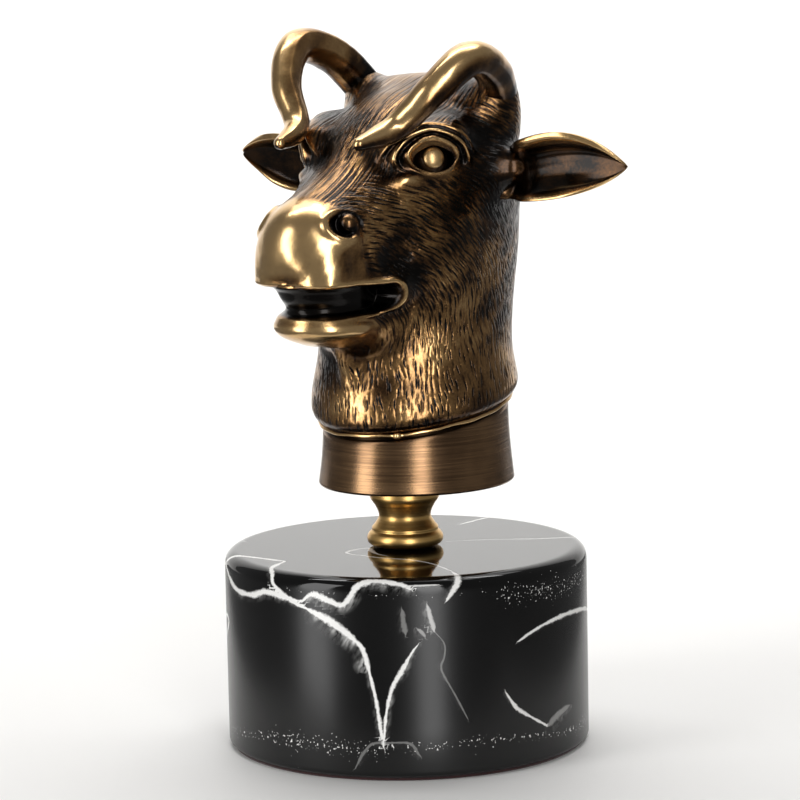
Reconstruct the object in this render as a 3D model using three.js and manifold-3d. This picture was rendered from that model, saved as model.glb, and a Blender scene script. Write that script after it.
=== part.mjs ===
// A cast ox head on a turned stem and a round moulded base, in millimetres, +Z up.
// The ox faces -Y, its left side is +X, and the origin is the centre of the underside.
import * as THREE from "three";
import { mergeVertices } from "three/addons/utils/BufferGeometryUtils.js";
import Module from "manifold-3d";

const wasm = await Module();
wasm.setup();

// Driving dimensions.
const PAD_THICKNESS = 0.7;
const PAD_INSET = 1.0; // how far the felt stays inside the base's rim
const BASE_RADIUS = 43.2;
const BASE_HEIGHT = 46.0;
const BASE_TOP_ROUND = 3.0;
const BASE_FOOT_ROUND = 0.8;
const STEM_HEIGHT = 14.4;
const STEM_FOOT_RADIUS = 9.1;
const STEM_NECK_RADIUS = 6.2;
const STEM_TOP_RADIUS = 8.3;
const COLLAR_HALF_WIDTH = 22.7; // along X, at the bottom rim
const COLLAR_HALF_DEPTH = 24.6; // along Y, at the bottom rim
const COLLAR_TAPER = 1.1; // how much narrower each half is under the hem
const COLLAR_OFFSET = 5.0; // the collar's centre behind the stem's axis
const HEAD_HEIGHT = 108.0; // collar's bottom rim to the top of the higher horn
const EAR_SPAN = 115.0; // ear tip to ear tip
const CLEARANCE = 0.3; // between pieces that rest on each other

// The sculpture is laid out in parts: its height is 108 parts, and each share below counts them.
const PARTS_HIGH = 108;
const PART = HEAD_HEIGHT / PARTS_HIGH;
// The skin is drawn on a lattice whose lines are closer where the carving is finer: [up to, spacing].
const LINES_ACROSS = [
  [18, 2.8],
  [34, 4.2],
];
const LINES_ALONG = [
  [-52, 0],
  [-12, 2.9],
  [2, 3.8],
  [46, 5.8],
];
const LINES_UP = [
  [5.6, 0],
  [24, 3],
  [35, 5.5],
  [53, 2.3],
  [70, 3],
  [102, 4.4],
];
const HEM_FRONT = 13.6; // height of the fur's lower edge at the throat's foremost point
const HEM_SLOPE = 0.172; // how steeply that edge climbs to the back
const HEM_ROUND = 4.5;
const HEM_OVERHANG = 1.2; // how far the fur stands out past the collar
const COLLAR_TUCK = 8; // how far the collar runs on inside the neck

// Places of the face, in parts: x to the ox's left, y to its back, z up from the collar's rim.
const EYE = { at: [17.6, -10, 78.6], out: [0.8, -0.55, 0.22], along: [0.5, 0.85, 0.02] };
const EYE_BALL = 3.4;
const EYE_SINK = 1.6;
const LID = { half: 6.8, high: 4.4, thick: 0.85 };
const BROW_FOLD = { half: 10.7, high: 6.9, thick: 1.05 };
const NOSTRIL_RIM = { half: 4.4, high: 3.9, thick: 0.75 };
const NOSTRIL = { at: [12.2, -36, 64.4], out: [0.5, -0.68, 0.5], along: [0.6, 0.7, 0] };
const NOSTRIL_RADIUS = 2.9;
const MOUTH_HEIGHT = 6.5;
const MOUTH_LEVEL = 47.9;
const MOUTH_CORNER = -21;

// The horns arch up, forward and in to a fine tip. The left one is carried a little lower.
const HORN_PATH = [
  [16.6, 15.5, 84],
  [19.5, 13.8, 91.9],
  [23.5, 5.8, 101.1],
  [25.4, -5.4, 103.9],
  [21.7, -14.2, 95.6],
  [14.6, -19.3, 86.1],
  [11.2, -30.4, 82.5],
];
const HORN_DROP = 2.8;
const HORN_ROOT = 4.5;
const HORN_TIP = 1.3;
const HORN_STEPS = 22;
const HORN_SIDES = 8;

const EAR_ROOT = [24, 5.5, 76];
const EAR_TIP_BACK = 11;
const EAR_TIP_LEVEL = 75.2;
const EAR_TIP_HALF = 0.3;
const EAR_TIP_MARGIN = 0.05; // what the wall at the tip adds to the span
const EAR_WALL = 2.3;
const EAR_ROOT_THICKNESS = 9.5;
const EAR_CUP = 4.8;
const EAR_STEPS = 11;
const EAR_ROWS = 6;

// Small helpers for shaping.
const clamp = (v, low = 0, high = 1) => Math.min(high, Math.max(low, v));
const ramp = (from, to, v) => {
  const t = clamp((v - from) / (to - from));
  return t * t * (3 - 2 * t);
};
const bell = (v, width) => Math.exp(-((v / width) ** 2));
const mix = (a, b, t) => a + (b - a) * t;

// Soft union and soft cut of two distances.
function fuse(a, b, k) {
  const h = clamp(0.5 + (0.5 * (b - a)) / k);
  return mix(b, a, h) - k * h * (1 - h);
}
const carve = (a, b, k) => -fuse(-a, b, k);

// Distance to an ellipsoid, turned about Z by yaw and about X by pitch, in degrees.
function ellipsoid([x, y, z], [cx, cy, cz], [rx, ry, rz], { yaw = 0, pitch = 0 } = {}) {
  const cosYaw = Math.cos(THREE.MathUtils.degToRad(yaw));
  const sinYaw = Math.sin(THREE.MathUtils.degToRad(yaw));
  const cosPitch = Math.cos(THREE.MathUtils.degToRad(pitch));
  const sinPitch = Math.sin(THREE.MathUtils.degToRad(pitch));
  const u = (x - cx) * cosYaw + (y - cy) * sinYaw;
  const across = -(x - cx) * sinYaw + (y - cy) * cosYaw;
  const v = across * cosPitch - (z - cz) * sinPitch;
  const w = across * sinPitch + (z - cz) * cosPitch;
  const near = Math.hypot(u / rx, v / ry, w / rz);
  const far = Math.hypot(u / rx ** 2, v / ry ** 2, w / rz ** 2);
  return (near * (near - 1)) / Math.max(far, 1e-9);
}

// Distance to a limb that runs from a to b and changes its radius from ra to rb.
function limb([x, y, z], [ax, ay, az], [bx, by, bz], ra, rb) {
  const d = [bx - ax, by - ay, bz - az];
  const reach = d[0] ** 2 + d[1] ** 2 + d[2] ** 2;
  const t = clamp(((x - ax) * d[0] + (y - ay) * d[1] + (z - az) * d[2]) / reach);
  return Math.hypot(x - ax - t * d[0], y - ay - t * d[1], z - az - t * d[2]) - mix(ra, rb, t);
}

// A right-handed set of directions at a feature: out of the skin, along it, and up.
function axesAt({ at, out, along }) {
  const outward = new THREE.Vector3(...out).normalize();
  const forth = new THREE.Vector3(...along);
  forth.addScaledVector(outward, -outward.dot(forth)).normalize();
  const up = new THREE.Vector3().crossVectors(outward, forth);
  if (up.z < 0) up.negate();
  return { centre: new THREE.Vector3(...at), outward, forth, up };
}
const eyeAxes = axesAt(EYE);
const nostrilAxes = axesAt(NOSTRIL);

// A point's place in such a set of directions.
function seenFrom({ centre, outward, forth, up }, [x, y, z]) {
  const r = new THREE.Vector3(x, y, z).sub(centre);
  return { n: r.dot(outward), t: r.dot(forth), b: r.dot(up) };
}

// The neck is an oval column that waists under the jaw. Its foot follows the collar.
function neck([x, y, z]) {
  const waist = ramp(20, 34, z);
  const nape = ramp(34, 66, z);
  const halfWidth = COLLAR_HALF_WIDTH / PART + HEM_OVERHANG - 1.9 * waist - 0.7 * nape;
  const halfDepth = COLLAR_HALF_DEPTH / PART + HEM_OVERHANG + 0.8 - 1.8 * waist + 1.9 * nape;
  const centre = COLLAR_OFFSET / PART + 0.3 + 0.2 * waist + 3.6 * nape;
  const q = Math.hypot(x / halfWidth, (y - centre) / halfDepth);
  return carve(0.95 * (q - 1) * Math.min(halfWidth, halfDepth), 74 - z, 16);
}

// Skull, face, cheeks, jaw and the poll between the horns, on one side of the middle.
function skull(p) {
  let d = fuse(neck(p), ellipsoid(p, [0, 9, 75], [22, 26.5, 19.3]), 6);
  d = fuse(d, limb(p, [0, 4, 73], [0, -34, 60], 16, 10.3), 9);
  d = fuse(d, limb(p, [9.5, -3, 72], [6, -28, 59], 9.8, 8), 5);
  d = fuse(d, ellipsoid(p, [11.2, 1, 56.5], [11, 20, 14.5], { yaw: 8 }), 7);
  d = fuse(d, limb(p, [5.5, 2, 44], [3.5, -28, 42.5], 9.5, 6.5), 6);
  const bulb = ellipsoid(p, [0, -29.5, 59.8], [13.4, 13.6, 10.4], { pitch: 4 });
  const lip = limb(p, [5.6, -34.6, 53.6], [12.8, -20, 50], 7.4, 5);
  d = fuse(d, fuse(bulb, lip, 5), 4);
  d = fuse(d, limb(p, [0, 13, 88], [15, 12, 87], 8, 6), 7);
  d = fuse(d, limb(p, [12.5, -14, 82], [18.5, -4, 84], 3.4, 3.8), 7);
  return fuse(d, limb(p, [16, 6.5, 75.3], [20, 7.2, 75.5], 7, 6), 4);
}

// The open mouth: a slot with a round end at each corner, its shallow floor, and the lower lip.
function mouth(p, skin) {
  const [x, y, z] = p;
  const middle = MOUTH_LEVEL + 0.02 * (y + 20);
  const fromMiddle = Math.hypot(Math.max(y - MOUTH_CORNER, 0), z - middle);
  let d = carve(skin, fromMiddle - MOUTH_HEIGHT / 2, 1.4);
  d = fuse(d, ellipsoid(p, [0, -25.5, 48.6], [10, 15, 7], { pitch: 3 }), 1);
  d = fuse(d, ellipsoid(p, [0, -28.6, 40.9], [11.8, 11.8, 4.6], { pitch: 2 }), 2);
  return d - 0.55 * bell(fromMiddle - 4.5, 1.2) * ramp(-27, -21, y) * ramp(6, 10, x);
}

// A nostril and an eye socket.
function nostrilAndEye(p, skin) {
  const nose = seenFrom(nostrilAxes, p);
  const nostril = 0.9 * (Math.hypot(nose.t / 1.1, nose.b, nose.n / 1.4) - NOSTRIL_RADIUS);
  const eye = seenFrom(eyeAxes, p);
  const socket = 0.8 * (Math.hypot(eye.t / 1.5, eye.b, eye.n) - EYE_BALL);
  return carve(carve(skin, nostril, 0.8), socket, 0.7);
}

// The whole skin in parts, alike on both sides, cut off along the slanting hem.
function skin([x, y, z]) {
  const p = [Math.abs(x), y, z];
  const hem = HEM_FRONT + HEM_SLOPE * (y + (COLLAR_HALF_DEPTH - COLLAR_OFFSET) / PART);
  return carve(nostrilAndEye(p, mouth(p, skull(p))), z - hem, HEM_ROUND);
}

// Lattice lines from a list of stretches, each with its own spacing.
function linesOf([[start], ...stretches]) {
  const lines = [start];
  for (const [end, spacing] of stretches) {
    const from = lines[lines.length - 1];
    const count = Math.round((end - from) / spacing);
    for (let n = 1; n <= count; n++) lines.push(mix(from, end, n / count));
  }
  return lines;
}

// A closed mesh where a distance field is zero: one vertex for each lattice cell that the surface
// crosses, drawn onto the surface, and one quad for each lattice edge that it crosses.
function meshOfField(field, xs, ys, zs) {
  const [nx, ny, nz] = [xs.length, ys.length, zs.length];
  const index = (i, j, k) => (k * ny + j) * nx + i;
  const placeOf = (i, j, k) => [xs[i], ys[j], zs[k]];
  const values = new Float64Array(nx * ny * nz);
  for (let k = 0; k < nz; k++)
    for (let j = 0; j < ny; j++)
      for (let i = 0; i < nx; i++) values[index(i, j, k)] = field(placeOf(i, j, k));
  untangle(values, [nx, ny, nz]);
  const vertexOf = new Map();
  const positions = [];
  const addVertex = (i, j, k) => {
    const sum = [0, 0, 0];
    let crossings = 0;
    const corner = (c) => [i + (c & 1), j + ((c >> 1) & 1), k + (c >> 2)];
    for (let c = 0; c < 8; c++)
      for (let axis = 0; axis < 3; axis++) {
        if (c & (1 << axis)) continue;
        const a = corner(c);
        const b = corner(c | (1 << axis));
        const va = values[index(...a)];
        const vb = values[index(...b)];
        if (va < 0 === vb < 0) continue;
        const t = va / (va - vb);
        placeOf(...a).forEach((v, n) => (sum[n] += mix(v, placeOf(...b)[n], t)));
        crossings++;
      }
    if (!crossings) return;
    vertexOf.set(index(i, j, k), positions.length / 3);
    const middle = sum.map((v) => v / crossings);
    positions.push(...drawnOnto(field, middle, placeOf(i, j, k), placeOf(i + 1, j + 1, k + 1)));
  };
  for (let k = 0; k < nz - 1; k++)
    for (let j = 0; j < ny - 1; j++) for (let i = 0; i < nx - 1; i++) addVertex(i, j, k);
  const faces = [];
  const addQuad = (at, u, v, inside) => {
    const around = [
      [0, 0],
      [-1, 0],
      [-1, -1],
      [0, -1],
    ].map(([a, b]) => vertexOf.get(index(...at.map((c, n) => c + a * u[n] + b * v[n]))));
    const [a, b, c, d] = inside ? around : around.reverse();
    faces.push(a, b, c, a, c, d);
  };
  const axes = [
    [1, 0, 0],
    [0, 1, 0],
    [0, 0, 1],
  ];
  for (let k = 1; k < nz - 1; k++)
    for (let j = 1; j < ny - 1; j++)
      for (let i = 1; i < nx - 1; i++)
        axes.forEach((step, n) => {
          const here = values[index(i, j, k)] < 0;
          const next = values[index(i + step[0], j + step[1], k + step[2])] < 0;
          if (here !== next) addQuad([i, j, k], axes[(n + 1) % 3], axes[(n + 2) % 3], here);
        });
  return { positions, faces };
}

// Where the four corners of a lattice square alternate in sign, two sheets would share an edge.
// The corner nearest the surface is moved to the other side of it until no square is left so.
function untangle(values, [nx, ny, nz]) {
  const strides = [1, nx, nx * ny];
  let tangled = true;
  while (tangled) {
    tangled = false;
    for (let at = 0; at < values.length; at++)
      for (let axis = 0; axis < 3; axis++) {
        const a = strides[axis];
        const b = strides[(axis + 1) % 3];
        const square = [at, at + a, at + a + b, at + b];
        if (square[2] >= values.length) continue;
        const [p, q, r, s] = square.map((n) => values[n] < 0);
        if (p !== r || q !== s || p === q) continue;
        const nearest = square.reduce((m, n) => (Math.abs(values[n]) < Math.abs(values[m]) ? n : m));
        values[nearest] = values[nearest] < 0 ? 1e-3 : -1e-3;
        tangled = true;
      }
  }
}

// Moves a point along the field's slope onto its surface, within its own cell.
function drawnOnto(field, point, low, high) {
  const p = [...point];
  const nudge = 0.05;
  const margin = 0.05;
  for (let round = 0; round < 4; round++) {
    const value = field(p);
    const slope = p.map((_, n) => {
      const q = [...p];
      q[n] += nudge;
      return (field(q) - value) / nudge;
    });
    const steep = Math.max(slope[0] ** 2 + slope[1] ** 2 + slope[2] ** 2, 0.05);
    p.forEach((v, n) => {
      const room = margin * (high[n] - low[n]);
      p[n] = clamp(v - (value * slope[n]) / steep, low[n] + room, high[n] - room);
    });
  }
  return p;
}

// A three.js geometry from plain positions and face corners.
function geometryOf({ positions, faces }) {
  return new THREE.BufferGeometry()
    .setAttribute("position", new THREE.Float32BufferAttribute(positions, 3))
    .setIndex(faces);
}

// A closed skin over rings of points, with a fan at each end.
function loft(rings) {
  const sides = rings[0].length;
  const positions = rings.flat().flatMap((v) => v.toArray());
  const faces = [];
  for (let r = 0; r < rings.length - 1; r++)
    for (let s = 0; s < sides; s++) {
      const a = r * sides + s;
      const b = r * sides + ((s + 1) % sides);
      faces.push(a, b, b + sides, a, b + sides, a + sides);
    }
  [0, rings.length - 1].forEach((r, end) => {
    const middle = rings[r].reduce((m, v) => m.add(v), new THREE.Vector3()).divideScalar(sides);
    const hub = positions.length / 3;
    positions.push(...middle.toArray());
    for (let s = 0; s < sides; s++) {
      const pair = [r * sides + s, r * sides + ((s + 1) % sides)];
      faces.push(hub, ...(end ? pair : pair.reverse()));
    }
  });
  return geometryOf({ positions, faces });
}

// A round rod that follows a curve and changes its radius on the way.
function sweep(path, radiusAt, steps, sides) {
  const frames = path.computeFrenetFrames(steps);
  const rings = [];
  for (let n = 0; n <= steps; n++) {
    const centre = path.getPointAt(n / steps);
    const radius = radiusAt(n / steps);
    const ring = [];
    for (let s = 0; s < sides; s++) {
      const turn = (2 * Math.PI * s) / sides;
      const point = centre.clone().addScaledVector(frames.normals[n], radius * Math.cos(turn));
      ring.push(point.addScaledVector(frames.binormals[n], radius * Math.sin(turn)));
    }
    rings.push(ring);
  }
  return loft(rings);
}

// One horn as a tapering sweep along its path, in parts. The right one just reaches the full height.
function hornGeometry(side) {
  const drop = side > 0 ? HORN_DROP : 0;
  const lowered = [0, 0, drop, drop, 0.4 * drop, 0, 0];
  const points = HORN_PATH.map(([x, y, z], n) => new THREE.Vector3(side * x, y, z - lowered[n]));
  const path = new THREE.CatmullRomCurve3(points, false, "centripetal");
  const radiusAt = (t) => mix(HORN_TIP, HORN_ROOT, (1 - t ** 2.2) ** 0.85) * (1 - 0.6 * ramp(0.96, 1, t));
  const horn = sweep(path, radiusAt, HORN_STEPS, HORN_SIDES);
  if (side > 0) return horn;
  horn.computeBoundingBox();
  return horn.translate(0, 0, PARTS_HIGH - horn.boundingBox.max.z);
}

// Points of an oval around a feature, laid on the skin, from one angle to another.
function ovalOnSkin(axes, { half, high }, from, to, count, side) {
  const points = [];
  for (let n = 0; n < count; n++) {
    const turn = mix(from, to, n / (count - 1));
    const p = axes.centre
      .clone()
      .addScaledVector(axes.forth, half * Math.cos(turn))
      .addScaledVector(axes.up, high * Math.sin(turn));
    for (let round = 0; round < 8; round++) p.addScaledVector(axes.outward, -0.9 * skull(p.toArray()));
    points.push(p.setX(side * p.x));
  }
  return points;
}

// A rolled rim that closes on itself around an eye or a nostril.
function rimGeometry(axes, oval, side) {
  const count = 17;
  const points = ovalOnSkin(axes, oval, 0, 2 * Math.PI, count, side).slice(0, count - 1);
  return new THREE.TubeGeometry(new THREE.CatmullRomCurve3(points, true), 16, oval.thick, 5, true);
}

// The fold of skin that arches over an eye.
function browGeometry(side) {
  const points = ovalOnSkin(eyeAxes, BROW_FOLD, 0.1, Math.PI - 0.1, 9, side);
  const radiusAt = (t) => BROW_FOLD.thick * mix(0.35, 1, Math.sin(Math.PI * t));
  return sweep(new THREE.CatmullRomCurve3(points), radiusAt, 12, 5);
}

// One ear as a leaf with a cupped front, in parts. The ring runs along the front and back along the rear.
function earGeometry(side) {
  const root = new THREE.Vector3(...EAR_ROOT);
  const tip = new THREE.Vector3(EAR_SPAN / 2 / PART - EAR_TIP_MARGIN, EAR_TIP_BACK, EAR_TIP_LEVEL);
  const axis = tip.clone().sub(root);
  const length = axis.length();
  axis.normalize();
  const up = new THREE.Vector3(0, 0, 1).addScaledVector(axis, -axis.z).normalize();
  const front = new THREE.Vector3().crossVectors(axis, up);
  if (front.y > 0) front.negate();
  const fullness = side > 0 ? 1 : 0.88;
  const rings = [];
  for (let n = 0; n <= EAR_STEPS; n++) {
    const s = mix(-0.22, 1, n / EAR_STEPS);
    const along = clamp(s);
    const half = Math.max((5.8 + 6.5 * along) * (1 - along ** 2.4) * fullness, EAR_TIP_HALF);
    const arch = side > 0 ? 1.5 * Math.sin(Math.PI * along ** 1.3) : 0;
    const cup = EAR_CUP * ramp(-0.05, 0.22, along) * (1 - 0.5 * ramp(0.6, 1, along));
    const fleshy = 1 - ramp(-0.1, 0.26, s);
    const wall = mix(EAR_WALL * (1 - 0.6 * along ** 4), EAR_ROOT_THICKNESS, fleshy);
    const profile = (w) => mix(1 - 0.45 * w ** 4, Math.sqrt(Math.max(1 - w * w, 0.06)), fleshy);
    const at = (w, lift) =>
      root
        .clone()
        .addScaledVector(axis, s * length)
        .addScaledVector(up, w * half + arch)
        .addScaledVector(front, cup * w * w - 2.4 * (1 - fleshy) + lift * profile(w));
    const ring = [];
    for (let r = 0; r <= EAR_ROWS; r++) ring.push(at(mix(-1, 1, r / EAR_ROWS), wall / 2));
    for (let r = EAR_ROWS; r >= 0; r--) ring.push(at(mix(-1, 1, r / EAR_ROWS), -wall / 2));
    rings.push(side > 0 ? ring.reverse() : ring.map((v) => v.setX(-v.x)));
  }
  return loft(rings);
}

// The collar: an oval tube's outside with a slightly hollow flare, closed at both ends.
function collarGeometry() {
  const height = HEM_FRONT * PART + COLLAR_TUCK;
  const outline = [new THREE.Vector2(0, 0)];
  const steps = 3;
  for (let n = 0; n <= steps; n++) {
    const t = n / steps;
    outline.push(new THREE.Vector2(1 - (COLLAR_TAPER / COLLAR_HALF_DEPTH) * Math.sin((t * Math.PI) / 2), t * height));
  }
  outline.push(new THREE.Vector2(0, height));
  const geometry = new THREE.LatheGeometry(outline, 48).rotateX(Math.PI / 2);
  return geometry.scale(COLLAR_HALF_WIDTH, COLLAR_HALF_DEPTH, 1).translate(0, COLLAR_OFFSET, 0);
}

// A solid for joining, from any closed geometry.
function solidOf(geometry) {
  const bare = geometry.clone();
  ["normal", "uv"].forEach((name) => bare.deleteAttribute(name));
  const merged = mergeVertices(bare, 1e-4);
  const solid = new wasm.Manifold(
    new wasm.Mesh({
      numProp: 3,
      vertProperties: merged.attributes.position.array,
      triVerts: new Uint32Array(merged.index.array),
    }),
  );
  return solid;
}

// The one-piece casting in its own frame: z is zero at the collar's rim, on the stem's axis.
function headGeometry() {
  const right = linesOf([[0], ...LINES_ACROSS]);
  const across = [...right.slice(1).reverse().map((x) => -x), ...right];
  const body = geometryOf(meshOfField(skin, across, linesOf(LINES_ALONG), linesOf(LINES_UP)));
  let head = solidOf(body.scale(PART, PART, PART)).add(solidOf(collarGeometry()));
  for (const side of [1, -1]) {
    const centre = eyeAxes.centre.clone().addScaledVector(eyeAxes.outward, -EYE_SINK);
    const ball = new THREE.SphereGeometry(EYE_BALL, 12, 9);
    const carvings = [
      hornGeometry(side),
      earGeometry(side),
      ball.translate(side * centre.x, centre.y, centre.z),
      rimGeometry(eyeAxes, LID, side),
      browGeometry(side),
      rimGeometry(nostrilAxes, NOSTRIL_RIM, side),
    ];
    for (const carving of carvings) head = head.add(solidOf(carving.scale(PART, PART, PART)));
  }
  const mesh = head.getMesh();
  return geometryOf({ positions: mesh.vertProperties, faces: Array.from(mesh.triVerts) });
}

// The turned stem: a rolled foot, a shallow groove, a waist and a flange that carries the collar.
function stemGeometry() {
  const groove = STEM_FOOT_RADIUS - 1.1;
  const outline = [
    new THREE.Vector2(0, 0),
    ...new THREE.SplineCurve([
      new THREE.Vector2(STEM_FOOT_RADIUS - 1.4, 0),
      new THREE.Vector2(STEM_FOOT_RADIUS - 0.3, 0.7),
      new THREE.Vector2(STEM_FOOT_RADIUS, 1.8),
      new THREE.Vector2(STEM_FOOT_RADIUS - 0.5, 3.1),
      new THREE.Vector2(groove, 3.8),
    ]).getPoints(6),
    ...new THREE.SplineCurve([
      new THREE.Vector2(groove, 4.4),
      new THREE.Vector2(mix(STEM_NECK_RADIUS, groove, 0.5), 5.5),
      new THREE.Vector2(STEM_NECK_RADIUS, 0.51 * STEM_HEIGHT),
      new THREE.Vector2(mix(STEM_NECK_RADIUS, STEM_TOP_RADIUS, 0.5), 0.69 * STEM_HEIGHT),
      new THREE.Vector2(STEM_TOP_RADIUS - 0.3, 0.77 * STEM_HEIGHT),
    ]).getPoints(7),
    new THREE.Vector2(STEM_TOP_RADIUS, 0.79 * STEM_HEIGHT),
    new THREE.Vector2(STEM_TOP_RADIUS, STEM_HEIGHT),
    new THREE.Vector2(0, STEM_HEIGHT),
  ];
  return new THREE.LatheGeometry(outline, 28).rotateX(Math.PI / 2);
}

// The round base, with a full rounding at its top edge and a small one at its foot.
function baseGeometry() {
  const corner = (round, level, from, steps) => {
    const points = [];
    for (let n = 0; n <= steps; n++) {
      const turn = from + (Math.PI / 2) * (n / steps);
      points.push(
        new THREE.Vector2(BASE_RADIUS - round + round * Math.cos(turn), level + round * Math.sin(turn)),
      );
    }
    return points;
  };
  const outline = [
    new THREE.Vector2(0, 0),
    ...corner(BASE_FOOT_ROUND, BASE_FOOT_ROUND, -Math.PI / 2, 2),
    ...corner(BASE_TOP_ROUND, BASE_HEIGHT - BASE_TOP_ROUND, 0, 5),
    new THREE.Vector2(0, BASE_HEIGHT),
  ];
  return new THREE.LatheGeometry(outline, 64).rotateX(Math.PI / 2);
}

// The thin felt disc under the base.
function padGeometry() {
  const radius = BASE_RADIUS - PAD_INSET;
  const disc = new THREE.CylinderGeometry(radius, radius, PAD_THICKNESS, 64).rotateX(Math.PI / 2);
  return disc.translate(0, 0, PAD_THICKNESS / 2);
}

const felt = new THREE.MeshStandardMaterial({ color: 0x2a0f10, roughness: 0.95, metalness: 0 });
const resin = new THREE.MeshStandardMaterial({ color: 0x08080a, roughness: 0.12, metalness: 0 });
const brass = new THREE.MeshStandardMaterial({ color: 0xb98a44, roughness: 0.22, metalness: 1 });
const bronze = new THREE.MeshStandardMaterial({ color: 0x7a5a33, roughness: 0.35, metalness: 1 });

function piece(name, geometry, material, level) {
  const mesh = new THREE.Mesh(geometry, material);
  mesh.name = name;
  mesh.position.z = level;
  return mesh;
}

const baseLevel = PAD_THICKNESS + CLEARANCE;
const stemLevel = baseLevel + BASE_HEIGHT + CLEARANCE;
const headLevel = stemLevel + STEM_HEIGHT + CLEARANCE;

const figure = new THREE.Group();
figure.add(
  piece("felt_pad", padGeometry(), felt, 0),
  piece("base", baseGeometry(), resin, baseLevel),
  piece("stem", stemGeometry(), brass, stemLevel),
  piece("ox_head", headGeometry(), bronze, headLevel),
);

export default figure;
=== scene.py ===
"""A cast ox head with a chased coat, on a turned brass stem and a black resin base with white veins.

The sculpture is laid out in parts, 108 to the height of the casting, in the casting's own frame: x to the
ox's left, y to its back and z up from the collar's rim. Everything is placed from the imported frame's boxes.
"""

import logging
import math
from dataclasses import dataclass, field
from enum import Enum
from functools import partial
from typing import Callable, Sequence

import bpy
import numpy as np
from mathutils import Matrix, Vector


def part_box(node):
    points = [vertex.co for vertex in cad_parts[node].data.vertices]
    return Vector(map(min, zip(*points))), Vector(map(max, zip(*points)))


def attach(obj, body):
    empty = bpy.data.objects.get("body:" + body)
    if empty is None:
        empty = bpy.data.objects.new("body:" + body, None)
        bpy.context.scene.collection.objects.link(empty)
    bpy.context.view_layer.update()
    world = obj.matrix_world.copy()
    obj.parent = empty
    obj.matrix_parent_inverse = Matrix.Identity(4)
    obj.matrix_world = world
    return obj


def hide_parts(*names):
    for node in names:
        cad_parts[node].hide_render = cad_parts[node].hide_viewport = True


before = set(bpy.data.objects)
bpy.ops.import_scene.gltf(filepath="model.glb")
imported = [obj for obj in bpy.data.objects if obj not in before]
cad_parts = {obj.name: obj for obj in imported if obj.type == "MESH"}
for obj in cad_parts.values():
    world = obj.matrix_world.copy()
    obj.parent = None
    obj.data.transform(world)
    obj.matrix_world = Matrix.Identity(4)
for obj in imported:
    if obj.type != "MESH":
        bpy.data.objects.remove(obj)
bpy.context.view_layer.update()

log = logging.getLogger("ox_head_figure")

Array = np.ndarray
Distance = Callable[[Array], Array]
Material = bpy.types.Material
Piece = bpy.types.Object
Socket = bpy.types.NodeSocket
AddNode = Callable[..., bpy.types.Node]

PARTS_HIGH = 108
HEAD_LOW, HEAD_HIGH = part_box("ox_head")
BASE_LOW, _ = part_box("base")
STEM_LOW, STEM_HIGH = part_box("stem")
PAD_LOW, PAD_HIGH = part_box("felt_pad")
PART = (HEAD_HIGH.z - HEAD_LOW.z) / PARTS_HIGH
MM = 0.001
WHOLE_TURN = 2 * math.pi
FIELD_BATCH = 400000  # how many places of a field are worked out at a time
VEIN_BATCH = 20000
JUST_INSIDE = -1e-3
PATH_POINTS = 900  # points along a horn's curve
VEIN_POINTS = 260
CASTING = ("ox_head", "patinated_bronze")  # the node and slot of every piece of the casting


class Side(Enum):
    """The side of the ox that a piece is on, as the sign of its x."""

    LEFT = 1
    RIGHT = -1


# Small helpers for shaping.


def ramp(low: float, high: float, values: Array) -> Array:
    """Smooth step from 0 at low to 1 at high."""
    t = np.clip((values - low) / (high - low), 0, 1)
    return t * t * (3 - 2 * t)


def bell(values: Array, width: float) -> Array:
    """Bell curve, 1 at zero and 1/e at the given width."""
    return np.exp(-((values / width) ** 2))


def fuse(a: Array, b: Array, k: float) -> Array:
    """Soft union of two distances over a blend of size k."""
    h = np.clip(0.5 + 0.5 * (b - a) / k, 0, 1)
    return b * (1 - h) + a * h - k * h * (1 - h)


def carve(a: Array, b: Array, k: float) -> Array:
    """Takes solid b out of solid a with a softened edge of size k."""
    return -fuse(-a, b, k)


def length(vectors: Array) -> Array:
    """Length of each vector in the last axis."""
    return np.sqrt((vectors * vectors).sum(-1))


def unit(vector: Sequence[float]) -> Array:
    """A vector of length one in the same direction."""
    v = np.asarray(vector, float)
    return v / np.linalg.norm(v)


def ellipsoid(
    points: Array,
    centre: Sequence[float],
    radii: Sequence[float],
    yaw: float = 0.0,
    pitch: float = 0.0,
) -> Array:
    """Distance to an ellipsoid.

    Args:
        points: Places to measure from, in parts.
        centre: Its middle.
        radii: Its half axes.
        yaw: Turn about Z, in degrees.
        pitch: Turn about X, in degrees.

    Returns:
        The distance at each point, below zero inside.
    """
    q = points - np.asarray(centre, float)
    if yaw:
        sine, cosine = math.sin(math.radians(yaw)), math.cos(math.radians(yaw))
        turned_x = q[..., 0] * cosine + q[..., 1] * sine
        turned_y = q[..., 1] * cosine - q[..., 0] * sine
        q = np.stack([turned_x, turned_y, q[..., 2]], -1)
    if pitch:
        sine, cosine = math.sin(math.radians(pitch)), math.cos(math.radians(pitch))
        turned_y = q[..., 1] * cosine - q[..., 2] * sine
        turned_z = q[..., 1] * sine + q[..., 2] * cosine
        q = np.stack([q[..., 0], turned_y, turned_z], -1)
    r = np.asarray(radii, float)
    near = length(q / r)
    far = length(q / (r * r))
    return near * (near - 1) / np.maximum(far, 1e-9)


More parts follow.
